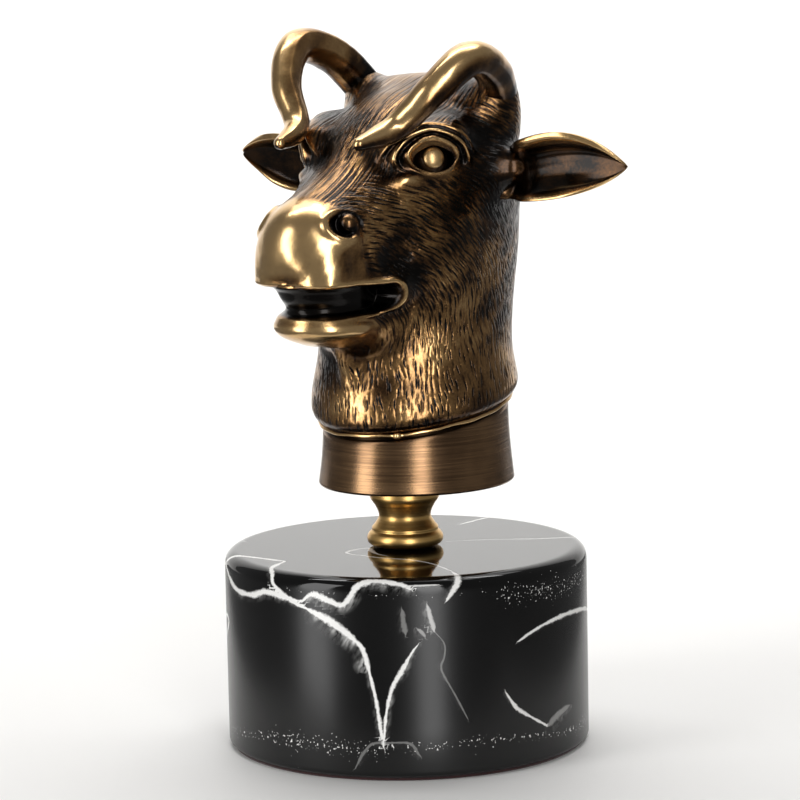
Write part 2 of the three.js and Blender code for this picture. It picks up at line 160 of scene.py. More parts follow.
def limb(
    points: Array,
    start: Sequence[float],
    end: Sequence[float],
    start_radius: float,
    end_radius: float,
) -> Array:
    """Distance to a limb with round ends that changes its radius on the way.

    Args:
        points: Places to measure from, in parts.
        start: One end of its axis.
        end: The other end.
        start_radius: Radius at the start.
        end_radius: Radius at the end.

    Returns:
        The distance at each point, below zero inside.
    """
    a = np.asarray(start, float)
    axis = np.asarray(end, float) - a
    t = np.clip((points - a) @ axis / (axis @ axis), 0, 1)
    return length(points - a - t[..., None] * axis) - (start_radius + (end_radius - start_radius) * t)


def waves(points: Array, size: float, phase: float = 0.0) -> Array:
    """Smooth noise between about -1 and 1 from a few crossing waves.

    Args:
        points: Places to read it at.
        size: Typical distance between its rises.
        phase: Shifts the pattern, so that two calls differ.

    Returns:
        The noise at each point.
    """
    k = WHOLE_TURN / size
    x, y, z = points[..., 0] * k, points[..., 1] * k, points[..., 2] * k
    total = np.sin(0.71 * x + 0.43 * y + 0.29 * z + 1.3 + phase)
    total += np.sin(-0.37 * x + 0.81 * y - 0.52 * z + 4.1 + 1.7 * phase)
    total += np.sin(0.23 * x - 0.49 * y + 0.91 * z + 2.2 - 2.3 * phase)
    total += 0.6 * np.sin(1.27 * x + 0.94 * y - 1.13 * z + 0.4 + 3.1 * phase)
    return total / 2.6


def scatter(keys: Array, salt: int) -> Array:
    """Repeatable numbers from 0 to 1 for rows of whole numbers, by a common integer hash.

    Args:
        keys: Whole numbers, one row of them for each result.
        salt: A number that gives another set for the same keys.

    Returns:
        One number for each row.
    """
    state = np.full(keys.shape[:-1], salt * 2654435761 % 2**32, np.uint64)
    for column in range(keys.shape[-1]):
        state = state ^ (keys[..., column].astype(np.int64) + 1000003).astype(np.uint64)
        state = state * np.uint64(2246822519) % np.uint64(2**32)
        state = state ^ (state >> np.uint64(15))
        state = state * np.uint64(3266489917) % np.uint64(2**32)
        state = state ^ (state >> np.uint64(13))
    return state.astype(float) / 2**32


@dataclass(frozen=True)
class Feature:
    """A place on the skin with its own directions: out of the skin, along it, and up."""

    at: tuple[float, float, float]
    out: tuple[float, float, float]
    along: tuple[float, float, float]

    def axes(self) -> tuple[Array, Array, Array]:
        """The three directions.

        Returns:
            Unit vectors out of the skin, along it and up.
        """
        outward = unit(self.out)
        forth = np.asarray(self.along, float)
        forth = unit(forth - outward * (outward @ forth))
        up = np.cross(outward, forth)
        return outward, forth, up if up[2] > 0 else -up

    def seen(self, points: Array) -> tuple[Array, Array, Array]:
        """Each point's place along those directions.

        Args:
            points: Places on or near the skin, in parts.

        Returns:
            The places outwards, along and up.
        """
        r = points - np.asarray(self.at)
        outward, forth, up = self.axes()
        return r @ outward, r @ forth, r @ up


# Meshes.


class Lattice:
    """A fine lattice on which the surface of a distance field is drawn as a closed net of quads."""

    COARSE = 4  # fine cells along one coarse cell

    def __init__(self, low: Sequence[float], high: Sequence[float], cell: float) -> None:
        """Lays the lattice out.

        Args:
            low: Its lowest corner, in parts.
            high: Its highest corner.
            cell: The side of a fine cell.
        """
        self.low = np.asarray(low, float)
        self.cell = cell
        span = np.asarray(high, float) - self.low
        self.coarse_shape = np.ceil(span / (cell * self.COARSE)).astype(int) + 1
        self.shape = (self.coarse_shape - 1) * self.COARSE + 1

    def places(self, index: Array, step: float) -> Array:
        """The points of a lattice of the given spacing at whole-number places."""
        return self.low + index * step

    @staticmethod
    def corner_cuts(cells: Sequence[int]) -> dict[tuple[int, int, int], tuple[slice, slice, slice]]:
        """Cuts that pick the value at a corner of every cell at once.

        Args:
            cells: How many cells lie along each axis.

        Returns:
            A cut for each of a cell's eight corners.
        """
        return {
            (i, j, k): (slice(i, cells[0] + i), slice(j, cells[1] + j), slice(k, cells[2] + k))
            for i in (0, 1)
            for j in (0, 1)
            for k in (0, 1)
        }

    def values(self, distance: Distance) -> Array:
        """Samples a field, finely near its surface only.

        Args:
            distance: The field.

        Returns:
            One value for each fine point. Far from the surface only its sign is true.
        """
        step = self.cell * self.COARSE
        index = np.stack(np.meshgrid(*[np.arange(n) for n in self.coarse_shape], indexing="ij"), -1)
        coarse = distance(self.places(index.reshape(-1, 3), step)).reshape(self.coarse_shape)
        cuts = self.corner_cuts(self.coarse_shape - 1).values()
        near = np.min([np.abs(coarse[cut]) for cut in cuts], 0) < step
        fine = np.where(coarse < 0, -1.0, 1.0)
        for axis in range(3):
            fine = np.repeat(fine, self.COARSE, axis)
        fine = fine[: self.shape[0], : self.shape[1], : self.shape[2]].astype(np.float32)
        wanted = np.zeros(self.shape, bool)
        for axis in range(3):
            near = np.repeat(near, self.COARSE, axis)
        for cut in self.corner_cuts(near.shape).values():
            wanted[cut] |= near
        at = np.argwhere(wanted)
        found = np.empty(len(at), np.float32)
        for start in range(0, len(at), FIELD_BATCH):
            rows = at[start : start + FIELD_BATCH]
            found[start : start + FIELD_BATCH] = distance(self.places(rows, self.cell))
        fine[wanted] = found
        return fine

    @staticmethod
    def untangle(values: Array) -> None:
        """Fills one outer corner wherever a square's corners alternate, so that no edge has four faces.

        Args:
            values: The lattice's values, changed in place.
        """
        corners = np.array([(0, 0), (1, 0), (1, 1), (0, 1)])
        tangled = True
        while tangled:
            tangled = False
            for axis in range(3):
                other = (axis + 1) % 3
                views = []
                for a, b in corners:
                    cut = [slice(None)] * 3
                    cut[axis] = slice(a, values.shape[axis] - 1 + a)
                    cut[other] = slice(b, values.shape[other] - 1 + b)
                    views.append(values[tuple(cut)])
                inside = [v < 0 for v in views]
                bad = (inside[0] == inside[2]) & (inside[1] == inside[3]) & (inside[0] != inside[1])
                if not bad.any():
                    continue
                found = np.stack([v[bad] for v in views])
                shift = corners[np.where(found < 0, np.inf, found).argmin(0)]
                where = np.argwhere(bad)
                where[:, axis] += shift[:, 0]
                where[:, other] += shift[:, 1]
                values[tuple(where.T)] = JUST_INSIDE
                tangled = True

    def net(self, distance: Distance) -> tuple[Array, Array]:
        """Draws the surface.

        Args:
            distance: The field whose zero is the surface.

        Returns:
            The points and the quads, turned outwards.
        """
        values = self.values(distance)
        self.untangle(values)
        inside = values < 0
        cells = self.shape - 1
        cuts = self.corner_cuts(cells)
        count = sum(inside[cut].astype(np.uint8) for cut in cuts.values())
        mixed = (count > 0) & (count < 8)
        number = np.full(cells, -1, np.int64)
        at = np.argwhere(mixed)
        number[mixed] = np.arange(len(at))
        corner = {key: values[cut][mixed].astype(float) for key, cut in cuts.items()}
        total = np.zeros((len(at), 3))
        hits = np.zeros(len(at))
        for axis in range(3):
            for i in (0, 1):
                for j in (0, 1):
                    start = [0, 0, 0]
                    start[(axis + 1) % 3], start[(axis + 2) % 3] = i, j
                    end = list(start)
                    end[axis] = 1
                    a, b = corner[tuple(start)], corner[tuple(end)]
                    cross = (a < 0) != (b < 0)
                    t = np.where(cross, a / np.where(cross, a - b, 1), 0)
                    offset = np.tile(np.array(start, float), (len(at), 1))
                    offset[:, axis] += t
                    total += offset * cross[:, None]
                    hits += cross
        points = self.places(at + total / hits[:, None], self.cell)
        quads = []
        for axis in range(3):
            u, v = (axis + 1) % 3, (axis + 2) % 3
            first = [slice(1, -1)] * 3
            second = [slice(1, -1)] * 3
            first[axis] = slice(0, -1)
            second[axis] = slice(1, None)
            cross = inside[tuple(first)] != inside[tuple(second)]
            where = np.argwhere(cross)
            start = where + 1
            start[:, axis] -= 1
            outward = inside[tuple(first)][cross]
            ring = []
            for a, b in ((0, 0), (-1, 0), (-1, -1), (0, -1)):
                cell = start.copy()
                cell[:, u] += a
                cell[:, v] += b
                ring.append(number[cell[:, 0], cell[:, 1], cell[:, 2]])
            ring = np.stack(ring, -1)
            ring[~outward] = ring[~outward][:, ::-1]
            quads.append(ring)
        return points, np.concatenate(quads)


def slope(distance: Distance, points: Array, value: Array, nudge: float = 0.03) -> Array:
    """The field's slope at each point, from small steps along the axes."""
    return np.stack([(distance(points + nudge * np.eye(3)[n]) - value) / nudge for n in range(3)], -1)


def drawn_onto(distance: Distance, points: Array, rounds: int, reach: float) -> tuple[Array, Array]:
    """Moves points along the field's slope onto its surface.

    Args:
        distance: The field.
        points: Points near its surface.
        rounds: How many times to step.
        reach: The furthest that a point may move in one step.

    Returns:
        The moved points and the outward directions there.
    """
    moved = points.copy()
    outward = np.zeros_like(moved)
    for _ in range(rounds):
        value = distance(moved)
        outward = slope(distance, moved, value)
        steep = np.maximum((outward**2).sum(-1), 0.1)
        shift = -(value / steep)[:, None] * outward
        size = np.maximum(length(shift), 1e-9)
        moved += shift * np.minimum(1, reach / size)[:, None]
    return moved, outward / np.maximum(length(outward), 1e-9)[:, None]


def mesh_piece(
    name: str,
    points: Array,
    faces: Array,
    node: str,
    slot: str,
    finish: Material,
    marks: dict[str, Array] | None = None,
) -> Piece:
    """Makes a piece of the object that stands for a node of the frame.

    Args:
        name: The piece's name.
        points: Its points, in metres in the frame.
        faces: Rows of point numbers, one row for each face.
        node: The node that it replaces.
        slot: The frame's material slot for it. Not used.
        finish: Its material.
        marks: Numbers kept at each point for the material, by name: one for each point, or three.

    Returns:
        The piece.
    """
    mesh = bpy.data.meshes.new(name)
    sides = faces.shape[1]
    mesh.vertices.add(len(points))
    mesh.vertices.foreach_set("co", np.ascontiguousarray(points, np.float32).ravel())
    mesh.loops.add(faces.size)
    mesh.loops.foreach_set("vertex_index", np.ascontiguousarray(faces, np.int32).ravel())
    mesh.polygons.add(len(faces))
    mesh.polygons.foreach_set("loop_start", np.arange(0, faces.size, sides, dtype=np.int32))
    mesh.polygons.foreach_set("loop_total", np.full(len(faces), sides, np.int32))
    mesh.update(calc_edges=True)
    mesh.polygons.foreach_set("use_smooth", np.full(len(faces), True))
    for mark, values in (marks or {}).items():
        kind, part = ("FLOAT", "value") if values.ndim == 1 else ("FLOAT_VECTOR", "vector")
        layer = mesh.attributes.new(mark, kind, "POINT")
        layer.data.foreach_set(part, np.ascontiguousarray(values, np.float32).ravel())
    mesh.validate()
    mesh.materials.append(finish)
    piece = bpy.data.objects.new(name, mesh)
    bpy.context.scene.collection.objects.link(piece)
    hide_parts(node)
    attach(piece, "root")
    return piece


def loft(rings: Array, looped: bool = False) -> tuple[Array, Array]:
    """A skin over rings of points, as triangles.

    Args:
        rings: An array of rings, points and coordinates.
        looped: Whether the last ring joins the first. Otherwise each end gets a fan.

    Returns:
        The points and the triangles.
    """
    count, sides = rings.shape[:2]
    points = rings.reshape(-1, 3)
    spans = count if looped else count - 1
    r, s = np.meshgrid(np.arange(spans), np.arange(sides), indexing="ij")
    a = (r * sides + s).ravel()
    b = (r * sides + (s + 1) % sides).ravel()
    c = ((r + 1) % count * sides + (s + 1) % sides).ravel()
    d = ((r + 1) % count * sides + s).ravel()
    faces = [np.stack([a, b, c], -1), np.stack([a, c, d], -1)]
    if not looped:
        for ring, turned in ((0, True), (count - 1, False)):
            hub = len(points)
            points = np.vstack([points, rings[ring].mean(0)])
            s = np.arange(sides)
            first, second = ring * sides + s, ring * sides + (s + 1) % sides
            if turned:
                first, second = second, first
            faces.append(np.stack([np.full(sides, hub), first, second], -1))
    return points, np.concatenate(faces)


def smooth_path(knots: Array, count: int) -> Array:
    """Points evenly spaced along a smooth curve through the knots.

    Args:
        knots: The points that the curve goes through.
        count: How many points to return.

    Returns:
        The points.
    """
    padded = np.vstack([2 * knots[0] - knots[1], knots, 2 * knots[-1] - knots[-2]])
    dense = []
    for n in range(1, len(padded) - 2):
        a, b, c, d = padded[n - 1 : n + 3]
        t = np.linspace(0, 1, 60, endpoint=False)[:, None]
        dense.append(
            0.5 * (2 * b + (c - a) * t + (2 * a - 5 * b + 4 * c - d) * t**2 + (3 * b - a - 3 * c + d) * t**3)
        )
    dense = np.vstack([*dense, knots[-1:]])
    run = np.concatenate([[0], np.cumsum(length(np.diff(dense, axis=0)))])
    wanted = np.linspace(0, run[-1], count)
    return np.stack([np.interp(wanted, run, dense[:, n]) for n in range(dense.shape[1])], -1)


def carried_frames(path: Array, up: Array) -> tuple[Array, Array, Array]:
    """Directions along a path that don't twist.

    Args:
        path: The points of the path.
        up: The direction that the second one starts nearest to.

    Returns:
        The forward, the upward and the sideways direction at each point.
    """
    forward = np.gradient(path, axis=0)
    forward /= length(forward)[:, None]
    upward = np.zeros_like(path)
    current = up - forward[0] * (forward[0] @ up)
    for n, direction in enumerate(forward):
        current = current - direction * (direction @ current)
        current = current / np.linalg.norm(current)
        upward[n] = current
    return forward, upward, np.cross(forward, upward)


def folded(points: Array) -> Array:
    """The points brought over to the ox's left, where the skin is worked out for both sides."""
    return np.concatenate([np.abs(points[..., :1]), points[..., 1:]], -1)


def placed(points: Array) -> Array:
    """Turns places in parts, in the casting's frame, into metres in the object's frame."""
    return points * PART + np.array([0, 0, HEAD_LOW.z])


# The sculpture's forms.


@dataclass
class Skin:
    """The ox's skin as a distance field, in parts, alike on both sides of the middle."""

    neck_half_width: float = 23.9
    neck_half_depth: float = 26.6
    neck_centre: float = 5.3
    hem_middle: float = 17.3  # height of the coat's lower edge over the stem's axis
    hem_slope: float = 0.172
    hem_round: float = 4.5
    mouth_level: float = 47.9
    mouth_corner: float = -24.6
    mouth_half_height: float = 3.25
    eye: Feature = Feature((17.6, -10.0, 78.6), (0.8, -0.55, 0.22), (0.5, 0.85, 0.02))
    eye_ball: float = 4.4
    eye_sink: float = 2.35
    nostril: Feature = Feature((12.2, -35.6, 66.0), (0.5, -0.68, 0.5), (0.6, 0.7, 0.0))
    nostril_ring: float = 3.9
    horn_root: tuple[float, float, float] = (16.6, 15.5, 84.0)

    def hem(self, points: Array) -> Array:
        """Height above the slanting plane of the coat's lower edge."""
        return points[..., 2] - self.hem_middle - self.hem_slope * points[..., 1]

    def neck(self, p: Array) -> Array:
        """The oval column of the neck, with a waist under the jaw.

        Args:
            p: Places in parts.

        Returns:
            The distance to it.
        """
        x, y, z = p[..., 0], p[..., 1], p[..., 2]
        waist = ramp(20, 34, z)
        nape = ramp(34, 66, z)
        half_width = self.neck_half_width - 1.9 * waist - 0.7 * nape
        half_depth = self.neck_half_depth - 1.8 * waist + 1.9 * nape
        centre = self.neck_centre + 0.2 * waist + 3.6 * nape
        q = np.sqrt((x / half_width) ** 2 + ((y - centre) / half_depth) ** 2)
        return carve(0.95 * (q - 1) * np.minimum(half_width, half_depth), 74 - z, 16)

    def bulb(self, p: Array) -> Array:
        """The bare muzzle with its upper lip.

        Args:
            p: Places in parts.

        Returns:
            The distance to it.
        """
        muzzle = ellipsoid(p, (0, -29.5, 59.8), (13.4, 13.6, 10.4), pitch=4)
        lip = limb(p, (5.6, -34.6, 53.6), (12.8, -20, 50), 7.4, 5)
        return fuse(muzzle, lip, 5) - 0.13 * waves(p, 7) - 0.04 * waves(p, 3, 1.0)

    def lower_lip(self, p: Array) -> Array:
        """The full lower lip."""
        return ellipsoid(p, (0, -28.6, 40.9), (11.8, 11.8, 4.6), pitch=2)

    def skull(self, p: Array) -> Array:
        """Joins skull, face, cheeks, jaw, poll and brow.

        Args:
            p: Places in parts.

        Returns:
            The distance to them, joined.
        """
        d = fuse(self.neck(p), ellipsoid(p, (0, 9, 75), (22, 26.5, 19.3)), 6)
        d = fuse(d, limb(p, (0, 4, 73), (0, -34, 60), 16, 10.3), 9)
        d = fuse(d, limb(p, (9.5, -3, 72), (6, -28, 59), 9.8, 8), 5)
        d = fuse(d, ellipsoid(p, (11.2, 1, 56.5), (11, 20, 14.5), yaw=8), 7)
        d = fuse(d, limb(p, (5.5, 2, 44), (3.5, -28, 42.5), 9.5, 6.5), 6)
        d = fuse(d, self.bulb(p), 3)
        d = fuse(d, limb(p, (0, 13, 88), (16, 13, 88), 8, 7.6), 7)
        d = fuse(d, limb(p, (12.5, -14, 82), (18.5, -4, 84), 3.4, 3.8), 7)
        d = fuse(d, limb(p, (0, -21, 37), (0, -19.6, 27), 3.6, 1.4), 3)
        d = fuse(d, limb(p, (18, 7.5, 75.4), (25.5, 10.8, 75.4), 6.2, 4.2), 6)
        return fuse(d, limb(p, self.horn_root, (19.6, 13.6, 92.4), 5.4, 4.3), 4)

    def from_mouth(self, p: Array) -> Array:
        """Measures from the middle line of the mouth, which ends in a point at its corner.

        Args:
            p: Places in parts.

        Returns:
            The distance.
        """
        y, z = p[..., 1], p[..., 2]
        middle = self.mouth_level + 0.02 * (y + 20)
        return np.sqrt(np.maximum(y - self.mouth_corner, 0) ** 2 + (z - middle) ** 2)

    def mouth(self, p: Array, d: Array) -> Array:
        """Opens the mouth and sets the palate, the tongue, the lower lip and the rolled corner.

        Args:
            p: Places in parts.
            d: The form so far, as a distance.

        Returns:
            The form with its mouth.
        """
        x, y = p[..., 0], p[..., 1]
        off = self.from_mouth(p)
        d = carve(d, off - self.mouth_half_height, 1.2)
        palate = ellipsoid(p, (0, -27.5, 50.8), (10.6, 14.6, 2.2))
        tongue = ellipsoid(p, (0, -25, 44.5), (9.5, 13, 2.6))
        gullet = ellipsoid(p, (0, -25.5, 48.6), (10, 15, 6), pitch=3)
        d = np.minimum(d, fuse(fuse(palate, tongue, 0.8), gullet, 2))
        d = fuse(d, self.lower_lip(p), 1.6)
        corner = ramp(-30, -25, y) * ramp(6, 10, x)
        upper_edge = ramp(-23, -30, y) * 0.35
        return d - (0.75 * corner + upper_edge) * bell(off - 4.1, 0.75)

    def behind_muzzle(self, p: Array) -> Array:
        """Distance behind the line where the bare muzzle ends."""
        return p[..., 1] + 30.6 + 0.75 * np.maximum(p[..., 2] - 65, 0) - 0.3 * np.maximum(58 - p[..., 2], 0)

    def nose(self, p: Array, d: Array) -> Array:
        """Opens the nostril, with a raised ring and a curled lobe inside.

        Args:
            p: Places in parts.
            d: The form so far, as a distance.

        Returns:
            The form with its nostril.
        """
        n, t, b = self.nostril.seen(p)
        ring = np.sqrt((t / 1.15) ** 2 + b**2)
        d = d - 0.8 * bell(ring - self.nostril_ring, 0.9) * bell(n, 4)
        d = d + 0.55 * bell(ring - 6.2, 1.1) * bell(n, 5) * ramp(0, 3, t)
        hole = 0.9 * (np.sqrt((t / 1.15) ** 2 + b**2 + (n / 1.4) ** 2) - 2.95)
        d = carve(d, hole, 0.5)
        behind = self.behind_muzzle(p)
        d = d + 0.75 * bell(behind - 0.4, 1.3) * ramp(8, 12.5, p[..., 0]) * ramp(51, 55, p[..., 2])
        outward, forth, up = self.nostril.axes()
        fold = behind + 2.6 + 0.28 * np.maximum(58 - p[..., 2], 0)
        d = d + 0.9 * bell(fold, 2.4) * ramp(8, 12, p[..., 0]) * bell(p[..., 2] - 56, 4.5)
        lobe = np.asarray(self.nostril.at) + 0.7 * forth + 0.8 * up - 3.3 * outward
        return fuse(d, length(p - lobe) - 2.5, 0.5)

    def lids(self, p: Array, d: Array) -> Array:
        """Shapes the eye socket, two lid rims, the fold over them and the fold under the inner corner.

        Args:
            p: Places in parts.
            d: The form so far, as a distance.

        Returns:
            The form with its sockets.
        """
        n, t, b = self.eye.seen(p)
        near = bell(n, 7)
        rim = self.round_eye(t, b)
        over = ramp(-2, 2, b)
        d = d - (0.6 + 0.35 * over) * bell(rim - 3.9 - 0.55 * over, 0.42 + 0.16 * over) * near
        d = d + 0.4 * bell(rim - 5.35, 0.4) * near * ramp(-3, 0, b)
        d = d - 0.85 * bell(rim - 6.3, 0.55) * near * ramp(-3, 0.5, b)
        d = d + 0.35 * bell(rim - 7.15, 0.35) * near * ramp(-1, 2.5, b)
        d = d - 0.55 * bell(rim - 8.0, 0.6) * near * ramp(0, 3, b)
        d = d - 1.1 * bell(self.from_tear(t, b), 1.5) * near
        socket = 0.8 * (np.sqrt(rim**2 + n**2) - 3.3)
        return carve(d, socket, 0.4)

    def from_tear(self, t: Array, b: Array) -> Array:
        """Measures from the fold under the inner corner, by places along the eye and up from it."""
        return np.sqrt(((t + 6.3) / 2.4) ** 2 + (b + 4.6) ** 2)

    def round_eye(self, t: Array, b: Array) -> Array:
        """Measures from the eye's middle, in rings shaped like its almond-shaped opening.

        Args:
            t: Places along the eye's length, from its middle.
            b: Places up from it.

        Returns:
            The distance in parts, measured along its height.
        """
        lean = b + 0.06 * t
        power = np.where(lean < 0, 2.0, 1.6)  # the upper lid is more pointed than the lower one
        low = lean * np.where(lean < 0, 1.15, 1)
        return (np.abs(t / 1.5) ** power + np.abs(low) ** power) ** (1 / power)

    def form(self, points: Array) -> Array:
        """Measures the bare skin, with the mouth, nose and eyes and the cut along the hem.

        Args:
            points: Places in parts, on either side of the middle.

        Returns:
            The distance to the skin.
        """
        p = folded(points)
        d = self.lids(p, self.nose(p, self.mouth(p, self.skull(p))))
        return carve(d, self.hem(p), self.hem_round)


@dataclass
class Coat:
    """Short chased hair: rows of tapering strokes that run back over the face and down the neck."""

    throat_y: float = -33.0  # the strokes of the face circle round this line under the jaw
    throat_z: float = 33.0
    face_spacing: float = 1.15
    neck_spacing: float = 1.5
    face_stroke: float = 3.8
    neck_stroke: float = 4.2
    half_width: float = 0.21
    depth: float = 0.12

    def strokes(self, across: Array, along: Array, spacing: float, stroke: float, salt: int) -> Array:
        """Depth of the strokes cut into a surface, from 0 to 1.

        Args:
            across: Each point's place across the rows.
            along: Each point's place along them.
            spacing: Distance between rows.
            stroke: Length of a stroke with the gap after it.
            salt: A number that gives another set of strokes.

        Returns:
            One value for each point.
        """
        found = np.zeros_like(across)
        home = np.floor(across / spacing)
        for step in (-1, 0, 1):
            row = home + step
            run = along / stroke + scatter(row[:, None], salt)
            cell = np.floor(run)
            keys = np.stack([row, cell], -1)
            sway, lean, size = (scatter(keys, salt + n) for n in (1, 2, 3))
            local = run - cell - 0.5
            middle = (row + 0.5 + 0.55 * (sway - 0.5)) * spacing + 0.9 * (lean - 0.5) * local * spacing
            taper = np.clip(1 - (local / (0.3 + 0.18 * size)) ** 2, 0, 1)
            half = self.half_width * (0.65 + 0.6 * size) * np.sqrt(taper) + 1e-6
            found = np.maximum(found, np.clip(1 - ((across - middle) / half) ** 2, 0, 1) * np.sqrt(taper))
        return found

    def cut(self, points: Array, outward: Array) -> Array:
        """Depth of the strokes on the skin, from 0 to 1.

        Args:
            points: Places on the skin, in parts.
            outward: The outward directions there.

        Returns:
            One value for each point.
        """
        lie, fall, sideways = self.flow(points, outward)
        across, along, across_top = lie.T
        in_rows = np.where(lie[:, 1] > 0, along, 0)
        side_run = np.where(in_rows > 0, along / np.maximum(across, 1) * np.round(across), along)
        side = self.strokes(across, side_run, self.face_spacing, self.face_stroke, 11)
        top = self.strokes(across_top, along, self.face_spacing, self.face_stroke, 23)
        down = self.strokes(fall[:, 0], fall[:, 1], self.neck_spacing, self.neck_stroke, 37)
        on_face = fall[:, 2]
        return on_face * (sideways * side + (1 - sideways) * top) + (1 - on_face) * down

    def flow(self, points: Array, outward: Array) -> tuple[Array, Array, Array]:
        """How the hair lies: places across and along it, in parts.

        Args:
            points: Places on the skin, in parts.
            outward: The outward directions there.

        Returns:
            For each point, the place across the rows of the face's sides, the place along them and the
            place across the rows on top; then the place across and along the rows of the neck, with the
            share of the face; and the share of the face's sides.
        """
        sway = 0.8 * waves(points, 21) + 0.14 * waves(points, 7, 2.0)
        x, y, z = points[:, 0] + 0.6 * sway, points[:, 1], points[:, 2]
        back, rise = y - self.throat_y, z - self.throat_z
        reach = np.hypot(back, np.maximum(rise, 0)) + sway
        turn = np.arctan2(np.maximum(rise, 0), back)
        along = np.where(rise > 0, turn * reach, rise)
        round_neck = np.arctan2(x, -(y - 5)) * 24 + sway
        on_face = ramp(28, 42, z + 0.2 * y)
        sideways = ramp(0.42, 0.62, np.abs(outward[:, 0]))
        return np.stack([reach, along, x], -1), np.stack([round_neck, -z, on_face], -1), sideways


